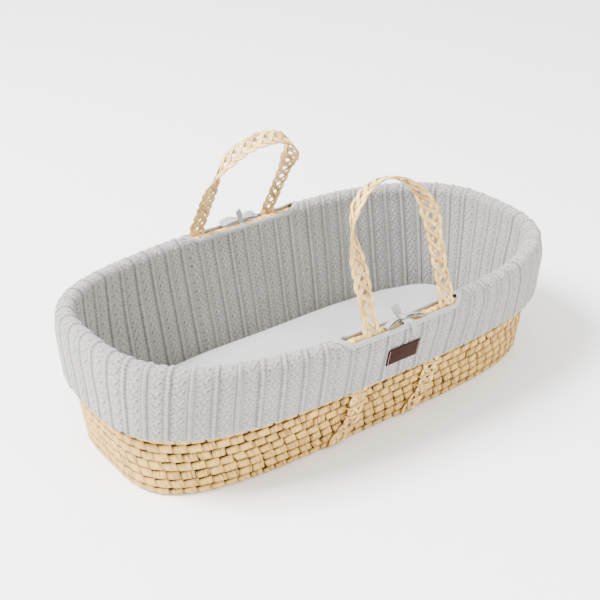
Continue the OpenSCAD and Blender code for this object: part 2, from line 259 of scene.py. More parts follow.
def tube_faces(rows, cols):
    """Quads of a tube, rows x cols, with a face over each end."""
    faces = [tuple(f) for f in grid_faces(rows, cols, close_cols=True)]
    faces.append(tuple(range(cols - 1, -1, -1)))
    faces.append(tuple(range((rows - 1) * cols, rows * cols)))
    return faces


def swept(centre, wide, thick, section):
    """Points and faces of a section carried along a line; wide and thick are its two directions."""
    sec = np.asarray(section, float)
    n, m = len(centre), len(sec)
    points = centre[:, None] + wide[:, None] * sec[None, :, :1] + thick[:, None] * sec[None, :, 1:]
    return points.reshape(-1, 3), tube_faces(n, m)


def joined(parts):
    """One array of points and one list of faces, from pairs of them."""
    points, faces, count = [], [], 0
    for part_points, part_faces in parts:
        points.append(part_points)
        faces += [tuple(int(v) + count for v in face) for face in part_faces]
        count += len(part_points)
    return np.concatenate(points), faces


def oval_section(half_wide, half_thick, count, square_by=2.0):
    """A closed section: an ellipse, or squarer."""
    a = np.linspace(0, 2 * math.pi, count, endpoint=False)
    c, s = np.cos(a), np.sin(a)
    k = (np.abs(c) ** square_by + np.abs(s) ** square_by) ** (-1 / square_by)
    return np.stack([half_wide * k * c, half_thick * k * s], -1)


def face_out(obj):
    """Turn every face of a closed piece outwards."""
    bm = bmesh.new()
    bm.from_mesh(obj.data)
    bmesh.ops.recalc_face_normals(bm, faces=bm.faces)
    bm.to_mesh(obj.data)
    bm.free()


# ---------------------------------------------------------------- shader helpers
def feed(tree, node, inputs):
    """Set a node's inputs by name or number, or link them where a socket is given."""
    for key, value in inputs.items():
        if isinstance(value, bpy.types.NodeSocket):
            tree.links.new(value, node.inputs[key])
        else:
            node.inputs[key].default_value = value


def add(tree, kind, inputs=None, **settings):
    """A new node with its settings and its inputs."""
    node = tree.nodes.new(kind)
    for key, value in settings.items():
        setattr(node, key, value)
    feed(tree, node, inputs or {})
    return node


def calc(tree, operation, *values):
    """One step of arithmetic."""
    return add(tree, "ShaderNodeMath", dict(enumerate(values)), operation=operation).outputs[0]


def blend_colour(tree, share, low, high):
    """A mix of two colours."""
    return add(tree, "ShaderNodeMix", {0: share, 6: low, 7: high}, data_type="RGBA").outputs[2]


def noise(tree, place, scale=1.0, detail=2.0, roughness=0.5, stretch=None):
    """Noise over a map; stretch first scales the map by a number for each axis."""
    if stretch:
        place = add(tree, "ShaderNodeMapping", {"Vector": place, "Scale": stretch}).outputs[0]
    inputs = {"Vector": place, "Scale": scale, "Detail": detail, "Roughness": roughness}
    return add(tree, "ShaderNodeTexNoise", inputs).outputs[0]


def remap(tree, value, low, high, top=1.0):
    """A value from low to high, brought to 0 to top."""
    return add(tree, "ShaderNodeMapRange", {0: value, 1: low, 2: high, 3: 0.0, 4: top}).outputs[0]


def bump(tree, height, strength, depth, under=None):
    """A normal from a height, on top of another normal if one is given."""
    inputs = {"Height": height, "Strength": strength, "Distance": depth}
    if under is not None:
        inputs["Normal"] = under
    return add(tree, "ShaderNodeBump", inputs).outputs[0]


def attribute(tree, name):
    """A number kept on each point of the mesh."""
    return add(tree, "ShaderNodeAttribute", attribute_name=name).outputs["Fac"]


def cloth_map(tree):
    """The map that follows the cloth or the leaf, in metres."""
    return add(tree, "ShaderNodeUVMap", uv_map="cloth").outputs[0]


def own_place(tree):
    """The place on the piece, in metres."""
    return add(tree, "ShaderNodeTexCoord").outputs["Object"]


# ---------------------------------------------------------------- shader groups
def new_group(name, inputs, outputs):
    """An empty node group; its sockets are Float, Vector or Color."""
    group = bpy.data.node_groups.new(name, "ShaderNodeTree")
    for way, sockets in (("INPUT", inputs), ("OUTPUT", outputs)):
        for label, kind in sockets.items():
            group.interface.new_socket(label, in_out=way, socket_type="NodeSocket" + kind)
    return group, group.nodes.new("NodeGroupInput").outputs, group.nodes.new("NodeGroupOutput")


def use(tree, group, inputs):
    """A group placed in a material; gives its outputs."""
    node = tree.nodes.new("ShaderNodeGroup")
    node.node_tree = group
    feed(tree, node, inputs)
    return node.outputs


def leaf_group():
    """Palm leaf: long fibres, splits, blotches and painted shade in gaps and crevices, on a map that runs
    along the leaf.
    """
    g, i, out = new_group("palm_leaf",
                          {"Along": "Vector", "Tint": "Float", "Crevice": "Float",
                           "Light": "Color", "Dark": "Color", "Warm": "Color"},
                          {"Colour": "Color", "Height": "Float", "Blotch": "Float"})
    fibre = noise(g, i["Along"], detail=3.0, roughness=0.6, stretch=(2600, 60, 1))
    split = noise(g, i["Along"], stretch=(420, 26, 1))
    blotch = noise(g, i["Along"], detail=4.0, stretch=(90, 50, 1))
    whole = calc(g, "SMOOTH_MIN", calc(g, "MULTIPLY", split, 2.2), 1.0, 0.1)
    streak = calc(g, "MULTIPLY_ADD", fibre, 0.45, calc(g, "MULTIPLY", split, 0.75))
    tone = calc(g, "MULTIPLY_ADD", i["Tint"], 0.22, streak)
    tone = calc(g, "MULTIPLY", tone, calc(g, "MULTIPLY_ADD", whole, 0.3, 0.7))
    colour = blend_colour(g, remap(g, tone, 0.50, 0.76), i["Dark"], i["Light"])
    colour = blend_colour(g, remap(g, blotch, 0.5, 0.75, 0.55), colour, i["Warm"])
    # painted shade: the leaf turns to a near-black brown where the mesh marks shade in gaps and crevices
    shade = calc(g, "MINIMUM", calc(g, "MULTIPLY", i["Crevice"], 0.8), 1.0)
    height = calc(g, "ADD", calc(g, "MULTIPLY", fibre, 0.5), calc(g, "MULTIPLY", split, 0.8))
    colour = blend_colour(g, shade, colour, PAINTED_SHADE_BROWN)
    feed(g, out, {"Colour": colour, "Height": height, "Blotch": blotch})
    return g


def stitch_group():
    """Knitted stitches: columns of small Vs, on a map in metres; also the fuzz of the yarn."""
    g, i, out = new_group("knit_stitch", {"Map": "Vector", "Wide": "Float", "Tall": "Float"},
                          {"Height": "Float", "Fuzz": "Float"})
    xyz = add(g, "ShaderNodeSeparateXYZ", {0: i["Map"]}).outputs
    column = calc(g, "PINGPONG", calc(g, "DIVIDE", xyz[0], i["Wide"]), 0.5)
    leg = calc(g, "MULTIPLY_ADD", column, 1.6, calc(g, "DIVIDE", xyz[1], i["Tall"]))
    loop = calc(g, "PINGPONG", leg, 0.5)
    groove = calc(g, "SINE", calc(g, "MULTIPLY", column, 6.283))
    height = calc(g, "MULTIPLY", calc(g, "MULTIPLY", loop, 2.0), calc(g, "MULTIPLY_ADD", groove, 0.7, 0.3))
    feed(g, out, {"Height": height, "Fuzz": noise(g, i["Map"], 1800.0, 3.0, 0.7)})
    return g


def weave_group():
    """Plain woven cotton: over and under threads, and slubs, on a map in metres."""
    g, i, out = new_group("plain_weave", {"Map": "Vector", "Thread": "Float"},
                          {"Height": "Float", "Slub": "Float"})
    xyz = add(g, "ShaderNodeSeparateXYZ", {0: i["Map"]}).outputs
    wave_x = calc(g, "SINE", calc(g, "MULTIPLY", calc(g, "DIVIDE", xyz[0], i["Thread"]), 3.1416))
    wave_y = calc(g, "SINE", calc(g, "MULTIPLY", calc(g, "DIVIDE", xyz[1], i["Thread"]), 3.1416))
    height = calc(g, "MULTIPLY_ADD", calc(g, "MULTIPLY", wave_x, wave_y), 0.5, 0.5)
    feed(g, out, {"Height": height, "Slub": noise(g, i["Map"], stretch=(900, 90, 1))})
    return g


def mottle_group():
    """Broad soft patches, for the unevenness of any material."""
    g, i, out = new_group("mottle", {"Map": "Vector", "Scale": "Float", "Detail": "Float"},
                          {"Patch": "Float"})
    feed(g, out, {"Patch": noise(g, i["Map"], i["Scale"], i["Detail"])})
    return g


def fuzz_group():
    """Fine fuzz over broad patches, between two colours."""
    g, i, out = new_group("fabric_fuzz", {"Map": "Vector", "Scale": "Float", "Low": "Color", "High": "Color"},
                          {"Colour": "Color", "Fuzz": "Float", "Patch": "Float"})
    fuzz = noise(g, i["Map"], i["Scale"], 5.0)
    patch = noise(g, i["Map"], 22.0)
    share = calc(g, "MULTIPLY_ADD", fuzz, 0.6, calc(g, "MULTIPLY", patch, 0.4))
    feed(g, out, {"Colour": blend_colour(g, share, i["Low"], i["High"]), "Fuzz": fuzz, "Patch": patch})
    return g


# near-black brown of the painted shade between and under the palm parts
PAINTED_SHADE_BROWN = (0.020, 0.008, 0.002, 1)
LEAF = leaf_group()
STITCH = stitch_group()
WEAVE = weave_group()
MOTTLE = mottle_group()
FUZZ = fuzz_group()


# ---------------------------------------------------------------- materials
def new_material(name, roughness, **plain):
    """A material, its tree and its shader; plain are values that are the same all over."""
    m = bpy.data.materials.new(name)
    m.use_nodes = True
    shader = m.node_tree.nodes["Principled BSDF"]
    shader.inputs["Roughness"].default_value = roughness
    for key, value in plain.items():
        shader.inputs[key.replace("_", " ")].default_value = value
    return m, m.node_tree, shader


def palm_material(name, light, dark, warm):
    """Split palm leaf: the light and dark ends of its colour, and the tone of its blotches."""
    m, t, shader = new_material(name, 0.55, Specular_IOR_Level=0.35)
    leaf = use(t, LEAF, {"Along": cloth_map(t), "Tint": attribute(t, "tint"),
                         "Crevice": attribute(t, "crevice"), "Light": light, "Dark": dark, "Warm": warm})
    feed(t, shader, {"Base Color": leaf["Colour"],
                     "Roughness": calc(t, "MULTIPLY_ADD", leaf["Blotch"], 0.3, 0.38),
                     "Normal": bump(t, leaf["Height"], 0.8, 0.0010)})
    return m


def knit_material():
    """Grey cable knit: painted shade in the ditches of the cables and between the stitches, with yarn fuzz.
    """
    m, t, shader = new_material("knit", 0.92, Sheen_Weight=0.35, Sheen_Roughness=0.45,
                                Specular_IOR_Level=0.2)
    cloth = cloth_map(t)
    stitch = use(t, STITCH, {"Map": cloth, "Wide": 0.0027, "Tall": 0.0024})
    patch = use(t, MOTTLE, {"Map": cloth, "Scale": 24.0, "Detail": 3.0})["Patch"]
    loops = noise(t, cloth, 330.0)
    # painted shade: the colour runs towards near black in the cables' ditches and between the stitches, over
    # random patches and loops
    worn = calc(t, "MULTIPLY_ADD", patch, 0.12, calc(t, "MULTIPLY_ADD", loops, 0.6, -0.42))
    ditch_shading = calc(t, "MULTIPLY", attribute(t, "relief"), 0.84)
    depth = calc(t, "ADD", calc(t, "MULTIPLY_ADD", stitch["Height"], 0.36, ditch_shading), worn)
    colour = blend_colour(t, depth, (0.010, 0.0097, 0.0085, 1), (0.448, 0.436, 0.400, 1))
    fleck = remap(t, stitch["Fuzz"], 0.35, 0.7, 0.25)
    fuzz = bump(t, stitch["Fuzz"], 0.35, 0.0004)
    feed(t, shader, {"Base Color": blend_colour(t, fleck, colour, (0.46, 0.455, 0.44, 1)),
                     "Normal": bump(t, stitch["Height"], 0.8, 0.0010, fuzz)})
    return m


def cotton_material():
    """Plain woven cotton for the bindings, the tapes and the liner."""
    m, t, shader = new_material("cotton", 0.85, Sheen_Weight=0.2, Sheen_Roughness=0.4,
                                Specular_IOR_Level=0.25)
    cloth = cloth_map(t)
    weave = use(t, WEAVE, {"Map": cloth, "Thread": 0.0006})
    patch = use(t, MOTTLE, {"Map": cloth, "Scale": 40.0, "Detail": 2.0})["Patch"]
    share = calc(t, "MULTIPLY_ADD", weave["Slub"], 0.5, calc(t, "MULTIPLY", patch, 0.5))
    feed(t, shader, {"Base Color": blend_colour(t, share, (0.28, 0.28, 0.270, 1), (0.37, 0.37, 0.357, 1)),
                     "Roughness": calc(t, "MULTIPLY_ADD", weave["Slub"], 0.2, 0.75),
                     "Normal": bump(t, weave["Height"], 0.35, 0.0003)})
    return m


def jersey_material():
    """Fine grey jersey, with small even stitches."""
    m, t, shader = new_material("jersey", 0.9, Sheen_Weight=0.3, Sheen_Roughness=0.5, Specular_IOR_Level=0.2)
    place = own_place(t)
    stitch = use(t, STITCH, {"Map": place, "Wide": 0.0011, "Tall": 0.0009})
    patch = use(t, MOTTLE, {"Map": place, "Scale": 18.0, "Detail": 3.0})["Patch"]
    # painted shade between the stitches, over broad random patches
    share = calc(t, "MULTIPLY_ADD", patch, 0.6, calc(t, "MULTIPLY", stitch["Height"], 0.35))
    feed(t, shader, {"Base Color": blend_colour(t, share, (0.35, 0.35, 0.366, 1), (0.42, 0.42, 0.437, 1)),
                     "Normal": bump(t, stitch["Height"], 0.3, 0.0003)})
    return m


def leather_material():
    """Dark brown leather with a fine grain."""
    m, t, shader = new_material("leather", 0.62, Specular_IOR_Level=0.07)
    place = own_place(t)
    grain = add(t, "ShaderNodeTexVoronoi", {"Vector": place, "Scale": 900.0}, feature="DISTANCE_TO_EDGE")
    patch = use(t, MOTTLE, {"Map": place, "Scale": 60.0, "Detail": 4.0})["Patch"]
    colour = blend_colour(t, patch, (0.013, 0.0036, 0.0020, 1), (0.030, 0.0085, 0.0048, 1))
    feed(t, shader, {"Base Color": colour,
                     "Roughness": calc(t, "MULTIPLY_ADD", patch, 0.25, 0.5),
                     "Normal": bump(t, grain.outputs[0], 0.4, 0.0003)})
    return m


def plain_fabric(name, low, high, scale, depth):
    """A fuzzy or ribbed fabric with no map of its own: wadding, foam, ticking, elastic, thread."""
    m, t, shader = new_material(name, 0.9, Sheen_Weight=0.2, Sheen_Roughness=0.5, Specular_IOR_Level=0.2)
    cloth = use(t, FUZZ, {"Map": own_place(t), "Scale": scale, "Low": low, "High": high})
    feed(t, shader, {"Base Color": cloth["Colour"],
                     "Roughness": calc(t, "MULTIPLY_ADD", cloth["Patch"], 0.2, 0.78),
                     "Normal": bump(t, cloth["Fuzz"], 0.5, depth)})
    return m


PALM = palm_material("palm", light=(0.665, 0.400, 0.088, 1), dark=(0.150, 0.068, 0.010, 1),
                     warm=(0.56, 0.29, 0.095, 1))
PALE = palm_material("pale_palm", light=(0.97, 0.66, 0.24, 1), dark=(0.42, 0.21, 0.050, 1),
                     warm=(0.84, 0.55, 0.21, 1))
KNIT = knit_material()
COTTON = cotton_material()
JERSEY = jersey_material()
LEATHER = leather_material()
WADDING = plain_fabric("wadding", (0.62, 0.62, 0.60, 1), (0.86, 0.86, 0.84, 1), 900.0, 0.001)
FOAM = plain_fabric("foam", (0.70, 0.69, 0.62, 1), (0.84, 0.83, 0.78, 1), 1500.0, 0.0004)
TICKING = plain_fabric("ticking", (0.70, 0.70, 0.70, 1), (0.86, 0.86, 0.86, 1), 1200.0, 0.0004)
ELASTIC = plain_fabric("elastic", (0.55, 0.55, 0.54, 1), (0.82, 0.82, 0.80, 1), 1400.0, 0.0005)
THREAD = plain_fabric("thread", (0.38, 0.30, 0.22, 1), (0.60, 0.50, 0.38, 1), 2200.0, 0.0003)


def finish_piece(obj, material, body="basket", nodes=()):
    """Give a piece its material, the body it moves with and the CAD nodes it stands for."""
    obj.data.materials.clear()
    obj.data.materials.append(material)
    if nodes:
        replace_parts(obj, *nodes)
    if body:
        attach(obj, body)
    return obj


# ---------------------------------------------------------------- palm wall and floor
def leaf_wraps(name, place, count, length, low, high, seed):
    """One row of palm wraps: closed puffed tiles between heights low and high along a line of that length."""
    pick = np.random.default_rng(seed)
    across, tall = 5, 5
    a = np.linspace(0, 1, across)
    b = np.linspace(0, 1, tall)
    pitch = length / count
    edge = [(i, 0) for i in range(across)] + [(across - 1, j) for j in range(1, tall)]
    edge += [(i, tall - 1) for i in range(across - 2, -1, -1)] + [(0, j) for j in range(tall - 2, 0, -1)]
    edge = np.array(edge)
    front_faces = [(i * tall + j, (i + 1) * tall + j, (i + 1) * tall + j + 1, i * tall + j + 1)
                   for i in range(across - 1) for j in range(tall - 1)]
    ring = [int(i * tall + j) for i, j in edge]
    back = list(range(across * tall, across * tall + len(ring)))
    after = np.roll(np.arange(len(ring)), -1)
    rim_faces = [(ring[k], back[k], back[j], ring[j]) for k, j in enumerate(after)]
    tile = front_faces + rim_faces + [tuple(reversed(back))]
    points, faces, uvs, tints, dark = [], [], [], [], []
    start = pick.uniform(0, pitch)
    for k in range(count):
        width = pitch * pick.uniform(0.88, 1.02)
        lean = math.tan(math.radians(pick.normal(21, 6)))
        left_gap = pick.uniform(3.0, 5.4) * MM
        right_gap = pick.uniform(0.0, 2.2) * MM
        low_gap = pick.uniform(-0.4, 0.5) * MM
        bulge = pick.uniform(1.3, 2.3) * MM
        twist = pick.uniform(0.5, 1.3) * MM
        aa, bb = np.meshgrid(a, b, indexing="ij")
        top = high - (left_gap + (right_gap - left_gap) * aa)
        z = (low + low_gap) + (top - low - low_gap) * bb
        middle = (low + high) / 2
        s = start + k * pitch + (aa - 0.5) * width - lean * (z - middle)
        round_b = np.sin(math.pi * (0.1 + 0.8 * bb)) ** 0.8
        round_a = 1 - np.abs(2 * aa - 1) ** 5 * 0.45
        ridge = 0.25 * MM * np.sin(2 * math.pi * (aa * pick.uniform(1.5, 2.5) + pick.uniform()))
        out = -1.9 * MM + bulge * round_b * round_a + twist * (0.5 - aa) + 0.6 * MM * (0.5 - bb) + ridge
        front = place(s, z, out).reshape(-1, 3)
        i, j = edge[:, 0], edge[:, 1]
        rim = place(s[i, j], z[i, j], out[i, j] - 3.0 * MM)
        base = len(points) * (across * tall + len(ring))
        points.append(np.concatenate([front, rim]))
        faces += [tuple(base + v for v in f) for f in tile]
        shift = pick.uniform(0, 9, 2)
        flat = np.stack([aa * width + shift[0], bb * (high - low) + shift[1]], -1)
        uvs.append(np.concatenate([flat.reshape(-1, 2), flat[i, j]]))
        tints.append(np.full(len(front) + len(rim), pick.uniform(0.3, 0.9)))
        # painted shade: darker bands at each wrap's top and bottom edges and down its left edge, and full
        # shade on the tile's sides, which face into the gaps
        shade = np.maximum(np.abs(2 * bb - 1) ** 8 * 0.45, np.where(aa < 0.1, 0.55, 0.0))
        dark.append(np.concatenate([shade.ravel(), np.full(len(rim), 1.0)]))
    return new_piece(name, np.concatenate(points), faces, np.concatenate(uvs),
                     tint=np.concatenate(tints), crevice=np.concatenate(dark))


def palm_row(row):
    """One row of the wall."""
    low, high = row * ROW_H, (row + 1) * ROW_H
    u, run = arc_table((low + high) / 2, 0, -180, 180)
    length = run[-1]

    def place(s, z, out):
        """A point from its length along the row, its height in it and its distance out."""
        angle = np.interp(np.mod(s, length), run, u)
        return wall_at(angle, np.maximum(z, 0.4 * MM), out - foot_in(z))

    count = int(round(length / WRAP_PITCH))
    obj = leaf_wraps("palm_row_%02d" % (row + 1), place, count, length, low, high, SEED_WALL + row)
    return finish_piece(obj, PALM, nodes=["palm_wall"])


def floor_ring(ring):
    """One ring of the coiled floor, seen from below."""
    inset = 0.0105 + ring * ROW_H
    half_a = BASE_LENGTH / 2 - inset - ROW_H / 2
    half_b = BASE_WIDTH / 2 - inset - ROW_H / 2
    u = np.linspace(-180, 180, 1441)

    def flat_oval(angle, a, b):
        """Points on the ring with half length a and half width b."""
        c, s, k = round_outline(angle, BASE_SQUARE)
        return a * k * c, b * k * s

    x, y = flat_oval(u, half_a, max(half_b, 0.001))
    run = run_along(np.stack([x, y], -1))
    length = run[-1]

    def place(s, z, out):
        """A point from its length along the row, its height in it and its distance out."""
        angle = np.interp(np.mod(s, length), run, u)
        inward = z - ROW_H / 2
        px, py = flat_oval(angle, half_a - inward, np.maximum(half_b - inward, 0.0004))
        return np.stack([px, py, np.clip(1.6 * MM - out, 0.1 * MM, 9 * MM)], -1)

    count = int(round(length / WRAP_PITCH))
    obj = leaf_wraps("floor_ring_%02d" % (ring + 1), place, count, length, 0, ROW_H, SEED_FLOOR + ring)
    return finish_piece(obj, PALM, nodes=["palm_floor"])


def palm_core():
    """The coil that the leaf is wrapped round; it shows only between the wraps, and carries painted shade so
    that it reads as the shade there.
    """
    u = np.linspace(-180, 180, 289)[:-1]
    profile = [(0.0016, -3.4), (0.006, -3.6)]
    for row in range(ROWS):
        profile += [((row + share) * ROW_H, out) for share, out in ((0.05, -4.6), (0.5, -3.4), (0.95, -4.6))]
    del profile[2]  # the lowest row has no groove under it
    profile += [(WALL_H, -4.4), (WALL_H, -6.0), (0.009, -6.0), (0.0016, -6.0)]
    z = np.array([p[0] for p in profile])
    out = np.array([p[1] * MM for p in profile]) - foot_in(z)
    points = wall_at(u[:, None], z[None], out[None]).reshape(-1, 3)
    faces = grid_faces(len(u), len(profile), close_rows=True, close_cols=True)
    uv = np.stack([np.repeat(u * 0.006, len(profile)), np.tile(z, len(u))], -1)
    # painted shade: heavy on the outer face seen through the gaps, light on the face behind
    dark = np.tile(np.where(out > -0.0056, 1.25, 0.2), len(u))
    obj = new_piece("palm_core", points, faces, uv, tint=np.full(len(points), 0.3), crevice=dark)
    face_out(obj)
    return finish_piece(obj, PALM, nodes=["palm_wall"])


def floor_core():
    """The coil inside the floor, between the wraps below and the liner above."""
    u = np.linspace(-180, 180, 145)[:-1]
    c, s, k = round_outline(u, BASE_SQUARE)
    half_a, half_b = BASE_LENGTH / 2 - 0.009, BASE_WIDTH / 2 - 0.009
    layers = [(0.0035, 0.30), (0.0035, 0.6), (0.0035, 0.9), (0.0035, 0.984),
              (0.0085, 0.98), (0.0088, 0.6), (0.0088, 0.3)]
    points = np.concatenate([np.stack([half_a * f * k * c, half_b * f * k * s, np.full(len(u), z)], -1)
                             for z, f in layers])
    faces = [tuple(f) for f in grid_faces(len(layers), len(u), close_cols=True)]
    faces += [tuple(range(len(u))), tuple(range(len(points) - 1, len(points) - len(u) - 1, -1))]
    # painted shade at half strength all over, where the core shows between the floor wraps below
    obj = new_piece("floor_core", points, faces, points[:, :2], tint=np.full(len(points), 0.4),
                    crevice=np.full(len(points), 0.5))
    face_out(obj)
    return finish_piece(obj, PALM, nodes=["palm_floor"])


def rim_roll():
    """The roll of leaf on the wall's top edge, wrapped at a slant."""
    u, run = arc_table(ROLL_Z, ROLL_OUT, -180, 180)
    s = np.linspace(0, run[-1], 701)[:-1]
    angle = np.interp(s, run, u)
    turn = np.linspace(0, 2 * math.pi, 15)[:-1]
    ss, tt = np.meshgrid(s, turn, indexing="ij")
    wrap = ss / 0.014 + tt / (2 * math.pi)
    share = np.mod(wrap, 1.0)
    r = ROLL_R - 0.9 * MM + 0.9 * MM * np.sin(math.pi * share) ** 0.6
    points = wall_at(angle[:, None], ROLL_Z + r * np.sin(tt), ROLL_OUT + r * np.cos(tt))
    seeds = np.random.default_rng(5).uniform(0, 1, int(wrap.max()) + 2)
    faces = grid_faces(len(s), len(turn), close_rows=True, close_cols=True)
    uv = np.stack([ss + tt * 0.002, tt * 0.006 + share], -1).reshape(-1, 2)
    tint = seeds[np.floor(wrap).astype(int)].ravel()
    # painted shade where each turn of leaf on the roll meets the next
    dark = ((1 - np.sin(math.pi * share)) ** 3 * 0.7).ravel()
    obj = new_piece("wrapped_roll", points.reshape(-1, 3), faces, uv, tint=tint, crevice=dark)
    face_out(obj)
    return finish_piece(obj, PALE, nodes=["rim_roll"])


def rim_lashing():
    """Strips of leaf that bind the roll to the wall."""
    u, run = arc_table(ROLL_Z, ROLL_OUT, -180, 180)
    spots = np.arange(0.012, run[-1], 0.026)
    strips = []
    section = oval_section(2.2 * MM, 0.35 * MM, 8, 3.0)
    for s in spots:
        angle = float(np.interp(s, run, u))
        centre = wall_at(angle, ROLL_Z, ROLL_OUT)
        if abs(centre[0]) < 0.010:
            continue
        ahead = unit(wall_at(angle + 0.2, ROLL_Z, ROLL_OUT) - wall_at(angle - 0.2, ROLL_Z, ROLL_OUT))
        side = np.cross(ahead, [0, 0, 1])
        turn = np.linspace(-0.6, math.pi + 0.6, 20)
        radius = ROLL_R + 0.45 * MM
        round_it = np.cos(turn)[:, None] * side + np.sin(turn)[:, None] * np.array([0, 0, 1.0])
        line = centre + radius * round_it
        line = line + ahead * (turn[:, None] - math.pi / 2) * 1.6 * MM
        away = unit(line - centre)
        strips.append(swept(line, np.repeat(ahead[None], len(turn), 0), away, section))
    points, faces = joined(strips)
    obj = new_piece("roll_lashing", points, faces, points[:, [0, 2]] + points[:, [1, 1]],
                    tint=np.full(len(points), 0.6), crevice=np.zeros(len(points)))
    face_out(obj)
    return finish_piece(obj, PALM, nodes=["rim_lashing"])


# ---------------------------------------------------------------- plaited straps and handles
def leg_x(end, face):
    """Where a handle's leg stands along the rim."""
    return -face * LEG_SHIFT + end * LEG_SPACING / 2


def strap_centre(z):
    """How far the middle of the strap lies out from the wall's face."""
    return STRAP_OUT + (HINGE_OUT - STRAP_OUT) * smooth((np.asarray(z) - 0.150) / 0.045)


def veer(z, face):
    """How far the front legs veer to the head end near the floor."""
    z = np.asarray(z)
    if face > 0:
        return np.zeros_like(z)
    return VEER * np.maximum(0, 1 - z / VEER_Z) ** 1.3


def hinge_y():
    """Distance of a handle's hinge line from the middle line."""
    return float(half_w(ROLL_Z)) + HINGE_OUT


def leg_line(end, face):
    """Stations up a strap leg: where it leaves the base, round the bend and up the wall to the hinge."""
    z0 = STRAP_LOW + STRAP_BEND
    x0 = leg_x(end, face)
    low_x = x0 - float(veer(z0, face))
    low_y = float(side_y(low_x, z0, strap_centre(z0)))
    stations = []
    for a in np.radians(np.linspace(90, 5, 10)):
        y = low_y - STRAP_BEND + STRAP_BEND * math.cos(a)
        stations.append([low_x, face * y, z0 - STRAP_BEND * math.sin(a)])
    for z in np.linspace(z0, HINGE_Z - 0.002, 60):
        x = x0 - float(veer(z, face))
        stations.append([x, face * float(side_y(x, z, strap_centre(z))), z])
    return np.array(stations)


def handle_line(face):
    """Stations over a handle, from the head leg to the foot leg, with the direction of its width."""
    line = []
    r = LEG_SPACING / 2
    for h in np.linspace(0.004, LEG_STRAIGHT, 30):
        line.append((-r, h))
    for a in np.radians(np.linspace(177, 3, 59)):
        line.append((r * math.cos(a), LEG_STRAIGHT + (HANDLE_H - LEG_STRAIGHT) * math.sin(a)))
    for h in np.linspace(LEG_STRAIGHT, 0.004, 30):
        line.append((r, h))
    line = np.array(line)
    along = unit(np.gradient(line, axis=0))
    turn = np.radians(90) * smooth((line[:, 1] - TWIST_LOW) / (TWIST_HIGH - TWIST_LOW))
    flat = np.stack([along[:, 1] * np.cos(turn), np.sin(turn), -along[:, 0] * np.cos(turn)], -1)
    local = np.stack([line[:, 0], np.zeros(len(line)), line[:, 1]], -1)
    lean = Matrix.Rotation(face * LEAN[face], 3, "X")
    spin = np.array(lean)
    origin = np.array([-face * LEG_SHIFT, face * hinge_y(), HINGE_Z])
    return origin + local @ spin.T, flat @ spin.T


def strand_section(half_wide, half_thick):
    """Two strips of leaf side by side: an oval with a crease along its middle."""
    section = oval_section(half_wide, half_thick, 14, 2.4)
    section[:, 1] *= 1 - 0.42 * np.exp(-(section[:, 0] / (0.3 * half_wide)) ** 2)
    return section


def plait(name, centre, wide, seed):
    """Four strands of leaf plaited flat along a line; wide is the direction of the plait's width."""
    pick = np.random.default_rng(seed)
    both, at = resample(np.concatenate([centre, wide], 1), 0.0026)
    centre, wide = relaxed(both[:, :3], 3), both[:, 3:]
    along = unit(np.gradient(centre, axis=0))
    wide = relaxed(wide, 6)
    wide = unit(wide - along * np.sum(wide * along, 1, keepdims=True))
    normal = np.cross(along, wide)
    section = strand_section(3.7 * MM, 1.3 * MM)
    over = ([0, 45, 135, 180, 225, 315, 360], [1, 1, -1, -1, 1, -1, 1])
    m = len(section)
    strands, uvs, tints, dark = [], [], [], []
    for k in range(4):
        theta = 360 * at / 0.080 + 90 * k + 7 * np.sin(at / 0.023 + seed) + 6 * np.sin(at / 0.0095 + k)
        lateral = 0.0116 * np.sin(np.radians(theta))
        depth = relaxed(np.interp(np.mod(theta, 360), *over), 2) * 1.35 * MM
        wobble = 0.8 * MM * np.sin(at / 0.031 + pick.uniform(0, 6)) + pick.normal(0, 0.12 * MM, len(at))
        path = centre + wide * (lateral + wobble)[:, None] + normal * depth[:, None]
        run = unit(np.gradient(relaxed(path, 2), axis=0))
        up_way = normal + wide * (0.25 * np.cos(np.radians(theta)))[:, None]
        flat = unit(np.cross(up_way, run))
        thick = np.cross(run, flat)
        size = 1 + 0.12 * np.sin(at / 0.017 + pick.uniform(0, 6)) + pick.normal(0, 0.03, len(at))
        strand = (path[:, None] + flat[:, None] * section[None, :, :1] * size[:, None, None]
                  + thick[:, None] * section[None, :, 1:])
        strands.append((strand.reshape(-1, 3), tube_faces(len(at), m)))
        across = np.tile(section[:, 0] * 1.3 + section[:, 1], len(at)) + k
        uvs.append(np.stack([across, np.repeat(at, m)], -1))
        tints.append(np.repeat(0.5 + 0.4 * np.sin(at / 0.05 + pick.uniform(0, 6)), m))
        # painted shade along the edges of each strand and where it passes under the others
        edge = np.tile(0.75 * np.abs(section[:, 0] / (3.7 * MM)) ** 4, len(at))
        dark.append(np.maximum(edge, np.repeat(np.clip(0.2 - depth / (2.4 * MM), 0, 1) * 0.6, m)))
    points, faces = joined(strands)
    obj = new_piece(name, points, faces, np.concatenate(uvs),
                    tint=np.concatenate(tints), crevice=np.concatenate(dark))
    face_out(obj)
    return obj


def plaited_side(face, name, node):
    """One plait: out from under the base, up the wall, over the handle and down again."""
    head, foot = leg_line(-1, face), leg_line(1, face)[::-1]
    loop, loop_wide = handle_line(face)
    across = np.array([1.0, 0, 0])
    centre = np.concatenate([head, loop, foot])
    head_wide, foot_wide = np.repeat(across[None], len(head), 0), np.repeat(-across[None], len(foot), 0)
    wide = np.concatenate([head_wide, loop_wide, foot_wide])
    obj = plait(name, centre, wide, 11 if face < 0 else 12)
    finish_piece(obj, PALE, body=None, nodes=[node, "strap_head", "strap_foot"])
    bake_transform(obj)
    return obj


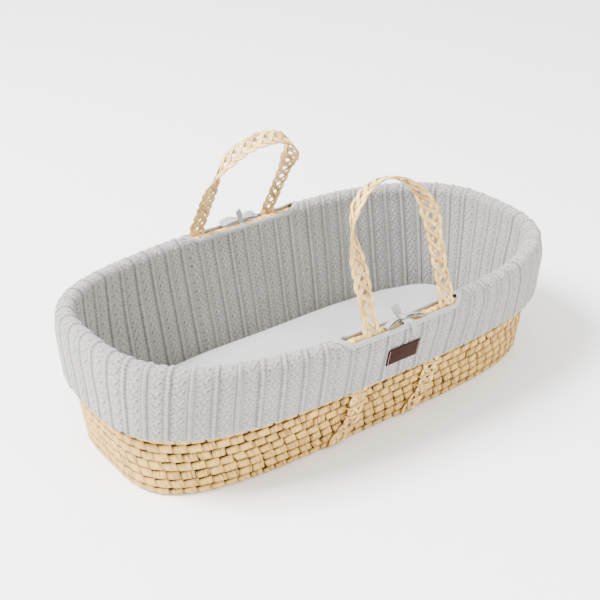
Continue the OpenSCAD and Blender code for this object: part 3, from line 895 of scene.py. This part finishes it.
def strap_under(end, name):
    """The part of a strap that crosses under the base."""
    front, back = leg_line(end, -1)[0], leg_line(end, 1)[0]
    t = np.linspace(0, 1, 40)[:, None]
    centre = front + (back - front) * t
    obj = plait(name, centre, np.repeat(np.array([[1.0, 0, 0]]), 40, 0), 20 + end)
    obj.data.vertices.foreach_set("co", np.maximum(read_points(obj), [-9, -9, 0.3 * MM]).ravel())
    return finish_piece(obj, PALE, nodes=["strap_head" if end < 0 else "strap_foot"])


def read_points(obj):
    """The points of a piece's mesh."""
    co = np.zeros(len(obj.data.vertices) * 3)
    obj.data.vertices.foreach_get("co", co)
    return co.reshape(-1, 3)


def strap_stitches(face, name, node):
    """Loops of leaf that sew the strap's legs to the wall."""
    loops = []
    section = oval_section(1.6 * MM, 0.45 * MM, 8, 3.0)
    for end in (-1, 1):
        for z in (0.034, 0.056, 0.078, 0.100):
            slope = 0.35 if int(z * 1000) % 4 else -0.35
            spread = np.linspace(-1, 1, 17)
            x = leg_x(end, face) - float(veer(z, face)) + spread * 17.5 * MM
            out = 6.9 * MM - 7.5 * MM * np.maximum(0, np.abs(spread) - 0.78) / 0.22
            height = z + spread * slope * 8 * MM
            line = np.stack([x, face * side_y(x, height, out), height], -1)
            along = unit(np.gradient(line, axis=0))
            normal = np.repeat([[0, face * 1.0, 0]], len(line), 0)
            flat = unit(np.cross(along, normal))
            loops.append(swept(line, flat, np.cross(flat, along), section))
    points, faces = joined(loops)
    obj = new_piece(name, points, faces, points[:, [2, 0]], tint=np.full(len(points), 0.75),
                    crevice=np.zeros(len(points)))
    face_out(obj)
    return finish_piece(obj, PALM, nodes=[node])


# ---------------------------------------------------------------- knit cover
REPEAT = 0.0332
ROPE_AT = 0.0055
ROPE_TURN = 0.0108
VINE_AT = 0.0221
LEAF_STEP = 0.0145
CLOTH_STEP = 0.00165


def cable_height(s, t):
    """Height of the cable knit and its painted shade, deepest in its ditches: a rope, then a vine of leaves
    with eyelets.
    """
    q = np.mod(s, REPEAT)
    shape = np.broadcast(s, t).shape
    # dark is painted shade: some on the plain ground, more in the ditches beside the rope, under and between
    # its strands, round and towards the edges of the leaves, and in the eyelets
    high, dark = np.full(shape, -0.3 * MM), np.full(shape, 0.30)
    beside = np.abs(q - ROPE_AT)
    ditch = np.exp(-((beside - 5.3 * MM) / (1.8 * MM)) ** 2)
    high, dark = high - 0.9 * MM * ditch, np.maximum(dark, 0.72 * ditch)
    in_rope = beside < 4.4 * MM
    high, dark = np.where(in_rope, -0.7 * MM, high), np.where(in_rope, 0.82, dark)
    for k in (0, 1):
        phase = 2 * math.pi * t / ROPE_TURN + k * math.pi
        off = (q - ROPE_AT - 1.9 * MM * np.sin(phase)) / (2.2 * MM)
        crown = np.sqrt(np.maximum(0, 1 - off ** 2)) * 1.8 * MM + 0.7 * MM * np.cos(phase) - 0.7 * MM
        on_top = (np.abs(off) < 1) & (crown > high)
        high, dark = np.where(on_top, crown, high), np.where(on_top, 0.92 * np.abs(off) ** 2.0, dark)
    for side in (-1, 1):
        along = np.mod(t + side * LEAF_STEP / 4, LEAF_STEP) - LEAF_STEP / 2
        across = q - VINE_AT - side * 3.6 * MM
        long_way = across * 0.62 * side + along * 0.78
        short_way = -across * 0.78 + along * 0.62 * side
        leaf = 1 - (long_way / (6.8 * MM)) ** 2 - (short_way / (2.7 * MM)) ** 2
        crown = 1.5 * MM * np.sqrt(np.maximum(0, leaf)) - 0.5 * MM
        dark = np.maximum(dark, 0.85 * np.exp(-((leaf + 0.30) / 0.30) ** 2))
        dark = np.where(leaf > 0, 0.45 * (1 - np.sqrt(np.maximum(0, leaf))), dark)
        high = np.where((leaf > 0) & (crown > high), crown, high)
        from_eye = np.mod(along + LEAF_STEP / 2 + 0.001, LEAF_STEP) - LEAF_STEP / 2
        eye = np.hypot(across - side * 3.0 * MM, from_eye)
        pit = np.exp(-(eye / (2.3 * MM)) ** 2)
        high, dark = high - 0.9 * MM * pit, np.maximum(dark, pit)
    return high, dark


def profile_line(kind):
    """[z, out] down the cloth: skirt from the hem up, over the roll, and down inside."""
    hem = [(0.126, 7.4), (0.1165, 7.6), (0.1142, 8.6), (0.1136, 9.8),
           (0.1146, 11.2), (0.119, 12.1), (0.127, 12.3)]
    skirt = [(0.140, 12.0), (0.160, 12.0), (0.184, 12.0)]
    fold = [(ROLL_Z + FOLD_R * math.sin(a), (FOLD_OUT + FOLD_R * math.cos(a)) / MM - 1.2)
            for a in np.radians(np.arange(0, 181, 15))]
    inside = [(z, -16.6) for z in (0.190, 0.150, 0.100, 0.060, 0.030)]
    inside += [(0.016, -17.0), (0.0112, -18.6), (0.0104, -21.5)]
    if kind == "end":
        return hem + skirt + fold + inside
    if kind == "outer":
        return hem + skirt + fold[:8]
    return fold[5:] + inside


def lip_angle(from_middle):
    """How far round the roll a slot's lip reaches: low along the slot, closing to a point at both ends."""
    closed = smooth((np.abs(from_middle) - SLOT_CLOSE) / (SLOT_END - SLOT_CLOSE))
    return math.radians(13) + math.radians(76) * closed


def fold_run(line, t, angle):
    """Length down the cloth to a place on the roll, angle round from its outer side."""
    round_roll = np.arctan2(line[:, 0] - ROLL_Z, line[:, 1] - FOLD_OUT)
    on_roll = line[:, 0] > ROLL_Z + 0.0001
    return np.interp(angle, round_roll[on_roll], t[on_roll])


def knit_panel(name, middle, half, kind, nodes):
    """One panel of the knit cover, with the cables as relief and their painted shade kept on each point."""
    line = np.array([(z, out * MM) for z, out in profile_line(kind)])
    line, t = resample(curve_through(line, 8), CLOTH_STEP)
    u_all, run_all = arc_table(ROLL_Z, 0.010, middle - 90, middle + 90)
    low, high = np.interp([middle - half, middle + half], u_all, run_all)
    s = np.linspace(low, high, int((high - low) / (REPEAT / 16)) + 1)
    u = np.interp(s, run_all, u_all)
    ss, tt = np.meshgrid(s, t, indexing="ij")
    share = np.linspace(0, 1, len(t))[None]
    if kind == "outer":
        tt = share * fold_run(line, t, lip_angle(u - middle))[:, None]
    if kind == "inner":
        lip = fold_run(line, t, math.pi - lip_angle(u - middle))[:, None]
        tt = lip + share * (t[-1] - lip)
    base = wall_at(u[:, None], np.interp(tt, t, line[:, 0]), np.interp(tt, t, line[:, 1]))
    side, rise = np.gradient(base, axis=0), np.gradient(base, axis=1)
    normal = unit(np.cross(side, rise))
    mark = 0.0045 if kind == "inner" else 0.0
    relief, dark = cable_height(ss + 0.004 * np.sin(ss * 9) + mark, tt + 0.003 * np.sin(ss * 31))
    soft = 0.7 * MM * np.sin(ss * 21 + 3 * np.sin(tt * 17)) * np.sin(tt * 29 + ss * 5)
    edge = np.minimum(ss - low, high - ss)
    seam = -2.2 * MM * np.exp(-(edge / 0.0035) ** 2)
    fade = smooth(edge / 0.003) * (0.35 + 0.65 * smooth((tt - 0.010) / 0.008))
    outside = 1 - smooth((np.interp(tt, t, -line[:, 1]) + 0.006) / 0.016)
    if kind == "outer":
        fade = fade * smooth((tt[:, -1:] - tt) / 0.005)
    if kind == "inner":
        fade = smooth(edge / 0.003) * smooth((tt - tt[:, :1]) / 0.005)
    fade = fade * (1.2 - 0.25 * outside)
    points = base + normal * (relief * fade + soft * fade + seam)[..., None]
    # the relief attribute holds the cables' painted shade: 1 where unshaded, lower in the ditches
    unshaded_share = 1 - dark
    uv = np.stack([ss, tt], -1).reshape(-1, 2)
    obj = new_piece(name, points.reshape(-1, 3), grid_faces(len(s), len(t)), uv, relief=unshaded_share.ravel())
    finish_piece(obj, KNIT, nodes=nodes)
    return obj


def knit_cover():
    """The cover's panels: head and foot, and a skirt and an inside at each handle slot."""
    knit_panel("knit_head", 180, 90 - SLOT_END, "end", ["cover_head"])
    knit_panel("knit_foot", 0, 90 - SLOT_END, "end", ["cover_foot"])
    for name, middle in (("front", -90), ("back", 90)):
        knit_panel("knit_%s_skirt" % name, middle, SLOT_END, "outer", ["cover_%s_outer" % name])
        knit_panel("knit_%s_inside" % name, middle, SLOT_END, "inner", ["cover_%s_inner" % name])


def slot_binding(middle, name):
    """Cotton binding round one handle slot: along the two lips and over the roll at both ends."""
    us = np.linspace(-SLOT_END + 0.1, SLOT_END - 0.1, 161)
    lines, ways = [], []
    r = FOLD_R - 0.0004
    for way, turn in ((1, us), (-1, us[::-1])):
        a = lip_angle(turn) if way > 0 else math.pi - lip_angle(turn)
        b = a + way * 0.05
        lines.append(wall_at(middle + turn, ROLL_Z + r * np.sin(a), FOLD_OUT + r * np.cos(a)))
        ahead = wall_at(middle + turn, ROLL_Z + r * np.sin(b), FOLD_OUT + r * np.cos(b))
        ways.append(unit(ahead - lines[-1]))
    both = np.concatenate([np.concatenate(lines), np.concatenate(ways)], 1)
    both, at = resample(np.concatenate([both, both[:1]]), 0.0022)
    both = both[:-1]
    line = relaxed(both[:, :3], 3, closed=True)
    tall = unit(relaxed(both[:, 3:], 3, closed=True))
    along = unit(np.roll(line, -1, 0) - np.roll(line, 1, 0))
    tall = unit(tall - along * np.sum(tall * along, 1, keepdims=True))
    thick = np.cross(along, tall)
    pucker = 1 + 0.06 * np.sin(at[:-1] / 0.0035) + 0.05 * np.sin(at[:-1] / 0.0091)
    section = oval_section(3.9 * MM, 1.7 * MM, 14, 2.6)
    points = (line[:, None] + tall[:, None] * section[None, :, :1] * pucker[:, None, None]
              + thick[:, None] * section[None, :, 1:] * pucker[:, None, None]).reshape(-1, 3)
    faces = grid_faces(len(line), len(section), close_rows=True, close_cols=True)
    turn = np.linspace(0, 0.022, len(section))
    uv = np.stack([np.repeat(at[:-1], len(section)), np.tile(turn, len(line))], -1)
    obj = new_piece(name, points, faces, uv)
    face_out(obj)
    side = "front" if middle < 0 else "back"
    return finish_piece(obj, COTTON, nodes=["binding_%s_outer" % side, "binding_%s_inner" % side])


# ---------------------------------------------------------------- ties
def ribbon(line, across, widths, thick=0.0009):
    """A strip of tape along a line, cupped a little over its width."""
    line = np.asarray(line, float)
    widths = np.asarray(widths, float)
    along = unit(np.gradient(line, axis=0))
    across = unit(across - along * np.sum(across * along, 1, keepdims=True))
    normal = np.cross(along, across)
    spread = np.linspace(-1, 1, 9)
    cup = (0.09 * (1 - spread ** 2) + 0.05 * np.cos(spread * 7))[None, :, None] * widths[:, None, None]
    flat = across[:, None] * spread[None, :, None] * widths[:, None, None] / 2
    top = line[:, None] + flat + normal[:, None] * cup
    low = top - normal[:, None] * thick
    ring = np.concatenate([top, low[:, ::-1]], 1)
    m = ring.shape[1]
    run = run_along(line)
    lay = np.concatenate([spread, spread[::-1]])[None] * widths[:, None] / 2
    uv = np.stack([np.repeat(run, m), lay.ravel()], -1)
    return ring.reshape(-1, 3), tube_faces(len(line), m), uv


def bow(face, name, node):
    """A tape tied over the rim roll: two loops, two tails and a knot."""
    centre = np.array([0, face * (float(half_w(ROLL_Z)) + ROLL_OUT), ROLL_Z + ROLL_R])
    out = np.array([0, face * 1.0, 0])
    right, top = np.array([1.0, 0, 0]), np.array([0, 0, 1.0])
    parts = []

    def strip(points, across, widths, thick=0.0009):
        """Tape through points given in mm right, out and up from the knot."""
        knots = [centre + right * x * MM + out * y * MM + top * z * MM for x, y, z in points]
        line = curve_through(np.array(knots), 7)
        t = np.linspace(0, 1, len(line))
        width = np.interp(t, np.linspace(0, 1, len(widths)), np.array(widths) * MM)
        side = np.repeat((right * across[0] + out * across[1] + top * across[2])[None], len(line), 0)
        parts.append(ribbon(line, side, width, thick))

    strip([(0, 14.6, -3), (0, 13.6, 2), (0, 8.6, 4.4), (0, 2.5, 2.2), (0, -3, 1.6), (0, -8, 0.5),
           (0, -10.6, -3)], (1, 0, 0), [11, 9, 7, 7, 8, 9, 10])
    for side in (-1, 1):
        strip([(0, 2, 4), (side * 9, 3, 8.2), (side * 21, 5, 8.6), (side * 31, 7, 5.4), (side * 34, 7.5, 3.4),
               (side * 29, 6.5, 2.3), (side * 17, 4.5, 3.4), (side * 8, 3, 3.9), (0, 2, 3.6)],
              (0, 0.9, 0.45), [4, 10, 14, 14, 13, 13, 12, 8, 4])
    strip([(0, 1, 4), (-2, -2, 9), (-4, -4, 15), (-7, -5, 22), (-9, -5, 27)],
          (1, 0.3, 0.3), [4, 8, 12, 12, 11])
    strip([(0, 3, 4), (5, 9, 4.5), (9, 15, 1.5), (12, 17.5, -7), (14, 17.5, -15)],
          (1, -0.3, 0), [4, 8, 11, 11, 10])
    knot = [(0, 2 + 5.2 * math.cos(a), 4.6 + 4.4 * math.sin(a))
            for a in np.linspace(0.4, 0.4 + 1.97 * math.pi, 13)]
    strip(knot, (1, 0, 0), [8.5, 10, 8.5, 10, 8.5], 0.0024)
    points, faces = joined([(part_points, part_faces) for part_points, part_faces, _ in parts])
    obj = new_piece(name, points, faces, np.concatenate([uv for _, _, uv in parts]))
    face_out(obj)
    return finish_piece(obj, COTTON, nodes=[node])


# ---------------------------------------------------------------- label
def wall_lean():
    """How far the wall leans out from upright."""
    return math.atan2(float(half_w(ROLL_Z) - half_w(0)), ROLL_Z)


def label():
    """The leather label: a thin plate with rounded edges, laid on the skirt."""
    bpy.ops.object.select_all(action="DESELECT")
    bpy.ops.mesh.primitive_cube_add(size=1)
    obj = bpy.context.object
    obj.name = "leather_label"
    obj.scale = LABEL_SIZE
    bpy.ops.object.transform_apply(location=False, rotation=False, scale=True)
    bpy.ops.object.mode_set(mode="EDIT")
    bpy.ops.mesh.select_all(action="SELECT")
    bpy.ops.mesh.bevel(offset=0.0006, segments=3)
    bpy.ops.object.mode_set(mode="OBJECT")
    obj.rotation_euler = (wall_lean(), 0, 0)
    obj.location = (0, -float(side_y(0, LABEL_Z, SKIRT_OUT + 0.0022)), LABEL_Z)
    bpy.ops.object.transform_apply(location=True, rotation=True, scale=True)
    bpy.ops.object.shade_smooth_by_angle(angle=math.radians(40))
    return finish_piece(obj, LEATHER, nodes=["label"])


def label_stitches():
    """Short thread stitches just inside the label's ends."""
    lean = wall_lean()
    y = -float(side_y(0, LABEL_Z, SKIRT_OUT + 0.0031))
    section = oval_section(0.35 * MM, 0.3 * MM, 6)
    wide, thick = np.repeat([[1.0, 0, 0]], 7, 0), np.repeat([[0, 1.0, 0]], 7, 0)
    stitches = []
    for x in (-0.0275, 0.0275):
        for k in range(7):
            middle = (k - 3) * 3.7 * MM
            t = np.linspace(-1, 1, 7)
            along = middle + t * 1.25 * MM
            deep = -0.25 * MM + 0.7 * MM * (1 - t ** 4)
            height = LABEL_Z + along * math.cos(lean)
            line = np.stack([np.full(7, x), y - along * math.sin(lean) - deep, height], -1)
            stitches.append(swept(line, wide, thick, section))
    obj = new_piece("label_thread", *joined(stitches))
    face_out(obj)
    return finish_piece(obj, THREAD, nodes=["label_stitches"])


# ---------------------------------------------------------------- mattress, sheet and liner
MATTRESS_LENGTH = 0.720
MATTRESS_WIDTH = 0.282
MATTRESS_Z = 0.0106
MATTRESS_T = 0.025
CROWN = 0.006
SHEET_MOVE = 0.0022


def pad_shape(name, inset, quilt=0.0):
    """A closed rounded pad, drawn in from the sheet's outside by inset."""
    u = np.linspace(-180, 180, 241)[:-1]
    top = MATTRESS_Z + MATTRESS_T
    low = [(MATTRESS_Z + inset, d + inset) for d in (0.130, 0.100, 0.070, 0.040, 0.020, 0.008)]
    edge = [(MATTRESS_Z + 0.002 + inset, 0.003 + inset), (MATTRESS_Z + 0.006, inset),
            (MATTRESS_Z + MATTRESS_T / 2, inset - 0.0006), (top - 0.007, inset),
            (top - 0.002 - inset, 0.003 + inset), (top - inset, 0.009 + inset)]
    swell = ((0.25, 0.022), (0.5, 0.040), (0.75, 0.065), (0.9, 0.09), (0.98, 0.115), (1.0, 0.130))
    crown = [(top - inset + CROWN * share, d) for share, d in swell]
    layers = np.array(low + edge + crown)
    c, s, k = round_outline(u, BASE_SQUARE)
    points = []
    for z, d in layers:
        x, y = (MATTRESS_LENGTH / 2 - d) * k * c, (MATTRESS_WIDTH / 2 - d) * k * s
        outward = 1 if z > MATTRESS_Z + 0.012 else -1
        wave = quilt * np.abs(np.sin((x + y) * 52) * np.sin((x - y) * 52)) ** 0.5 * outward
        points.append(np.stack([x, y, z + np.where(d > 0.01, wave, 0)], -1))
    points = np.concatenate(points)
    n = len(u)
    faces = [tuple(f) for f in grid_faces(len(layers), n, close_cols=True)]
    for ring in (0, len(layers) - 1):
        base = ring * n
        last = base + n - 1
        faces += [(base + j, base + j + 1, last - 1 - j, last - j) for j in range(n // 2 - 1)]
    obj = new_piece(name, points, faces)
    face_out(obj)
    return obj


def fitted_sheet():
    """Jersey stretched over the mattress, filled out by a short cloth run and gathered at its lower edge."""
    obj = pad_shape("jersey_sheet", 0.0)
    bpy.ops.object.select_all(action="DESELECT")
    bpy.context.view_layer.objects.active = obj
    obj.select_set(True)
    remesh = obj.modifiers.new("even", "REMESH")
    remesh.mode = "VOXEL"
    remesh.voxel_size = 0.006
    bpy.ops.object.modifier_apply(modifier="even")
    start = read_points(obj)
    cloth = obj.modifiers.new("fill", "CLOTH")
    cloth.settings.use_pressure = True
    cloth.settings.uniform_pressure_force = 3.0
    cloth.settings.effector_weights.gravity = 0
    cloth.settings.tension_stiffness = 20
    cloth.settings.compression_stiffness = 20
    cloth.settings.bending_stiffness = 0.6
    cloth.settings.quality = 5
    scene = bpy.context.scene
    for f in range(1, 17):
        scene.frame_set(f)
    bpy.ops.object.modifier_apply(modifier="fill")
    scene.frame_set(1)
    moved = read_points(obj) - start
    length = np.linalg.norm(moved, axis=1, keepdims=True)
    moved = moved * np.minimum(1, SHEET_MOVE / np.maximum(length, 1e-9))
    co = start + moved
    share_x, share_y = co[:, 0] / (MATTRESS_LENGTH / 2), co[:, 1] / (MATTRESS_WIDTH / 2)
    ring = (np.abs(share_x) ** BASE_SQUARE + np.abs(share_y) ** BASE_SQUARE) ** (1 / BASE_SQUARE)
    angle = np.degrees(np.arctan2(co[:, 1] * MATTRESS_LENGTH, co[:, 0] * MATTRESS_WIDTH))
    gather = 0.5 + 0.5 * np.sin(angle * 1.9 + 2 * np.sin(angle * 0.21)) * np.sin(angle * 0.83 + 1.0)
    side = smooth((ring - 0.93) / 0.06) * smooth((MATTRESS_Z + MATTRESS_T + 0.001 - co[:, 2]) / 0.016)
    co = co * (1 + (gather * side * 0.0030)[:, None] * np.array([1, 1, 0]))
    co[:, 2] = np.maximum(co[:, 2] + 0.0005 * np.sin(co[:, 0] * 23 + 2 * np.sin(co[:, 1] * 31)), MATTRESS_Z)
    obj.data.vertices.foreach_set("co", co.ravel())
    bm = bmesh.new()
    bm.from_mesh(obj.data)
    middle = [f for f in bm.faces if f.calc_center_median().z < MATTRESS_Z + 0.004
              and abs(f.calc_center_median().x) < MATTRESS_LENGTH / 2 - 0.032
              and abs(f.calc_center_median().y) < MATTRESS_WIDTH / 2 - 0.030]
    bmesh.ops.delete(bm, geom=middle, context="FACES")
    bm.to_mesh(obj.data)
    bm.free()
    smoother = obj.modifiers.new("smooth", "SUBSURF")
    smoother.levels = smoother.render_levels = 1
    bpy.ops.object.modifier_apply(modifier="smooth")
    obj.data.polygons.foreach_set("use_smooth", [True] * len(obj.data.polygons))
    finish_piece(obj, JERSEY, "mattress", ["fitted_sheet"])
    return obj


def mattress_pad():
    """The quilted ticking under the sheet."""
    obj = pad_shape("mattress_quilting", 0.0042, quilt=0.0010)
    finish_piece(obj, TICKING, "mattress", ["mattress_ticking"])
    return obj


def liner():
    """The cotton floor of the cover, loose over the palm floor."""
    rings, n = 60, 240
    u = np.linspace(-180, 180, n + 1)[:-1]
    f = np.linspace(0.004, 1, rings)
    c, s, k = round_outline(u, BASE_SQUARE)
    x = f[:, None] * (BASE_LENGTH / 2 - 0.0155) * (k * c)[None]
    y = f[:, None] * (BASE_WIDTH / 2 - 0.0155) * (k * s)[None]
    folds = 0.0004 * np.sin(x * 31 + 3 * np.sin(y * 23)) + 0.0003 * np.sin(y * 61 + 2 * np.sin(x * 17))
    z = 0.0098 + folds * (1 - f[:, None] ** 4)
    points = np.stack([x, y, z], -1).reshape(-1, 3)
    faces = [tuple(q) for q in grid_faces(rings, n, close_cols=True)] + [tuple(range(n - 1, -1, -1))]
    obj = new_piece("liner_cloth", points, faces, points[:, :2])
    finish_piece(obj, COTTON, nodes=["liner_floor"])
    return obj


# ---------------------------------------------------------------- the CAD pieces that stay
def kept_nodes():
    """Fabrics for the CAD pieces that stay: the padding, the elastics and the mattress core."""
    finishes = {"wadding": WADDING, "hem_elastic": ELASTIC, "sheet_elastic": ELASTIC, "mattress_core": FOAM}
    for obj in bpy.data.objects:
        for start, material in finishes.items():
            if obj.type == "MESH" and obj.name.startswith(start) and "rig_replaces" not in obj:
                obj.data.materials.clear()
                obj.data.materials.append(material)


# ---------------------------------------------------------------- camera, floor and light
def camera():
    """A long lens from the front and above, to the head end."""
    az, el, distance = math.radians(-36.84), math.radians(29.29), 1.847
    back = Vector((math.sin(az) * math.cos(el), -math.cos(az) * math.cos(el), math.sin(el)))
    right = (-back).cross(Vector((0, 0, 1))).normalized()
    above = right.cross(-back)
    target = Vector((0, 0, 0.1458)) + right * -0.0225 + above * 0.0055
    obj = bpy.data.objects.new("camera", bpy.data.cameras.new("camera"))
    bpy.context.scene.collection.objects.link(obj)
    place = target + back * distance
    obj.matrix_world = Matrix(((right.x, above.x, back.x, place.x), (right.y, above.y, back.y, place.y),
                               (right.z, above.z, back.z, place.z), (0, 0, 0, 1)))
    obj.data.sensor_width = 36
    obj.data.lens = 69.4
    bpy.context.scene.camera = obj


def floor_and_light():
    """A pale floor, a large soft light from above, a weak one in front, and an even sky."""
    bpy.ops.object.select_all(action="DESELECT")
    bpy.ops.mesh.primitive_plane_add(size=14)
    plane = bpy.context.object
    plane.name = "studio_floor"
    m, _, shader = new_material("studio_floor", 0.7)
    shader.inputs["Base Color"].default_value = (0.93, 0.93, 0.94, 1)
    plane.data.materials.append(m)
    aim = (0, 0, 0.1)
    for place, size, power, colour in (((-2.7, 1.0, 4.0), 1.9, 1020, (0.98, 0.985, 1.0)),
                                       ((0.2, -3.0, 2.3), 3.0, 95, (1.0, 1.0, 1.0))):
        data = bpy.data.lights.new("softbox", "AREA")
        data.size = size
        data.energy = power
        data.color = colour
        lamp = bpy.data.objects.new("softbox", data)
        bpy.context.scene.collection.objects.link(lamp)
        lamp.location = place
        lamp.rotation_euler = (Vector(aim) - Vector(place)).to_track_quat("-Z", "Y").to_euler()
    world = bpy.data.worlds.new("studio")
    world.use_nodes = True
    background = world.node_tree.nodes["Background"]
    background.inputs["Color"].default_value = (0.965, 0.945, 0.905, 1)
    background.inputs["Strength"].default_value = 2.2
    bpy.context.scene.world = world


for row in range(ROWS):
    palm_row(row)
for ring in range(FLOOR_RINGS):
    floor_ring(ring)
palm_core()
floor_core()
rim_roll()
rim_lashing()
plaited_side(-1, "plait_front", "handle_front")
plaited_side(1, "plait_back", "handle_back")
strap_under(-1, "strap_under_head")
strap_under(1, "strap_under_foot")
strap_stitches(-1, "sewing_front", "strap_stitches_front")
strap_stitches(1, "sewing_back", "strap_stitches_back")
knit_cover()
slot_binding(-90, "slot_binding_front")
slot_binding(90, "slot_binding_back")
bow(-1, "bow_front", "tie_front")
bow(1, "bow_back", "tie_back")
label()
label_stitches()
mattress_pad()
fitted_sheet()
liner()
kept_nodes()
camera()
floor_and_light()
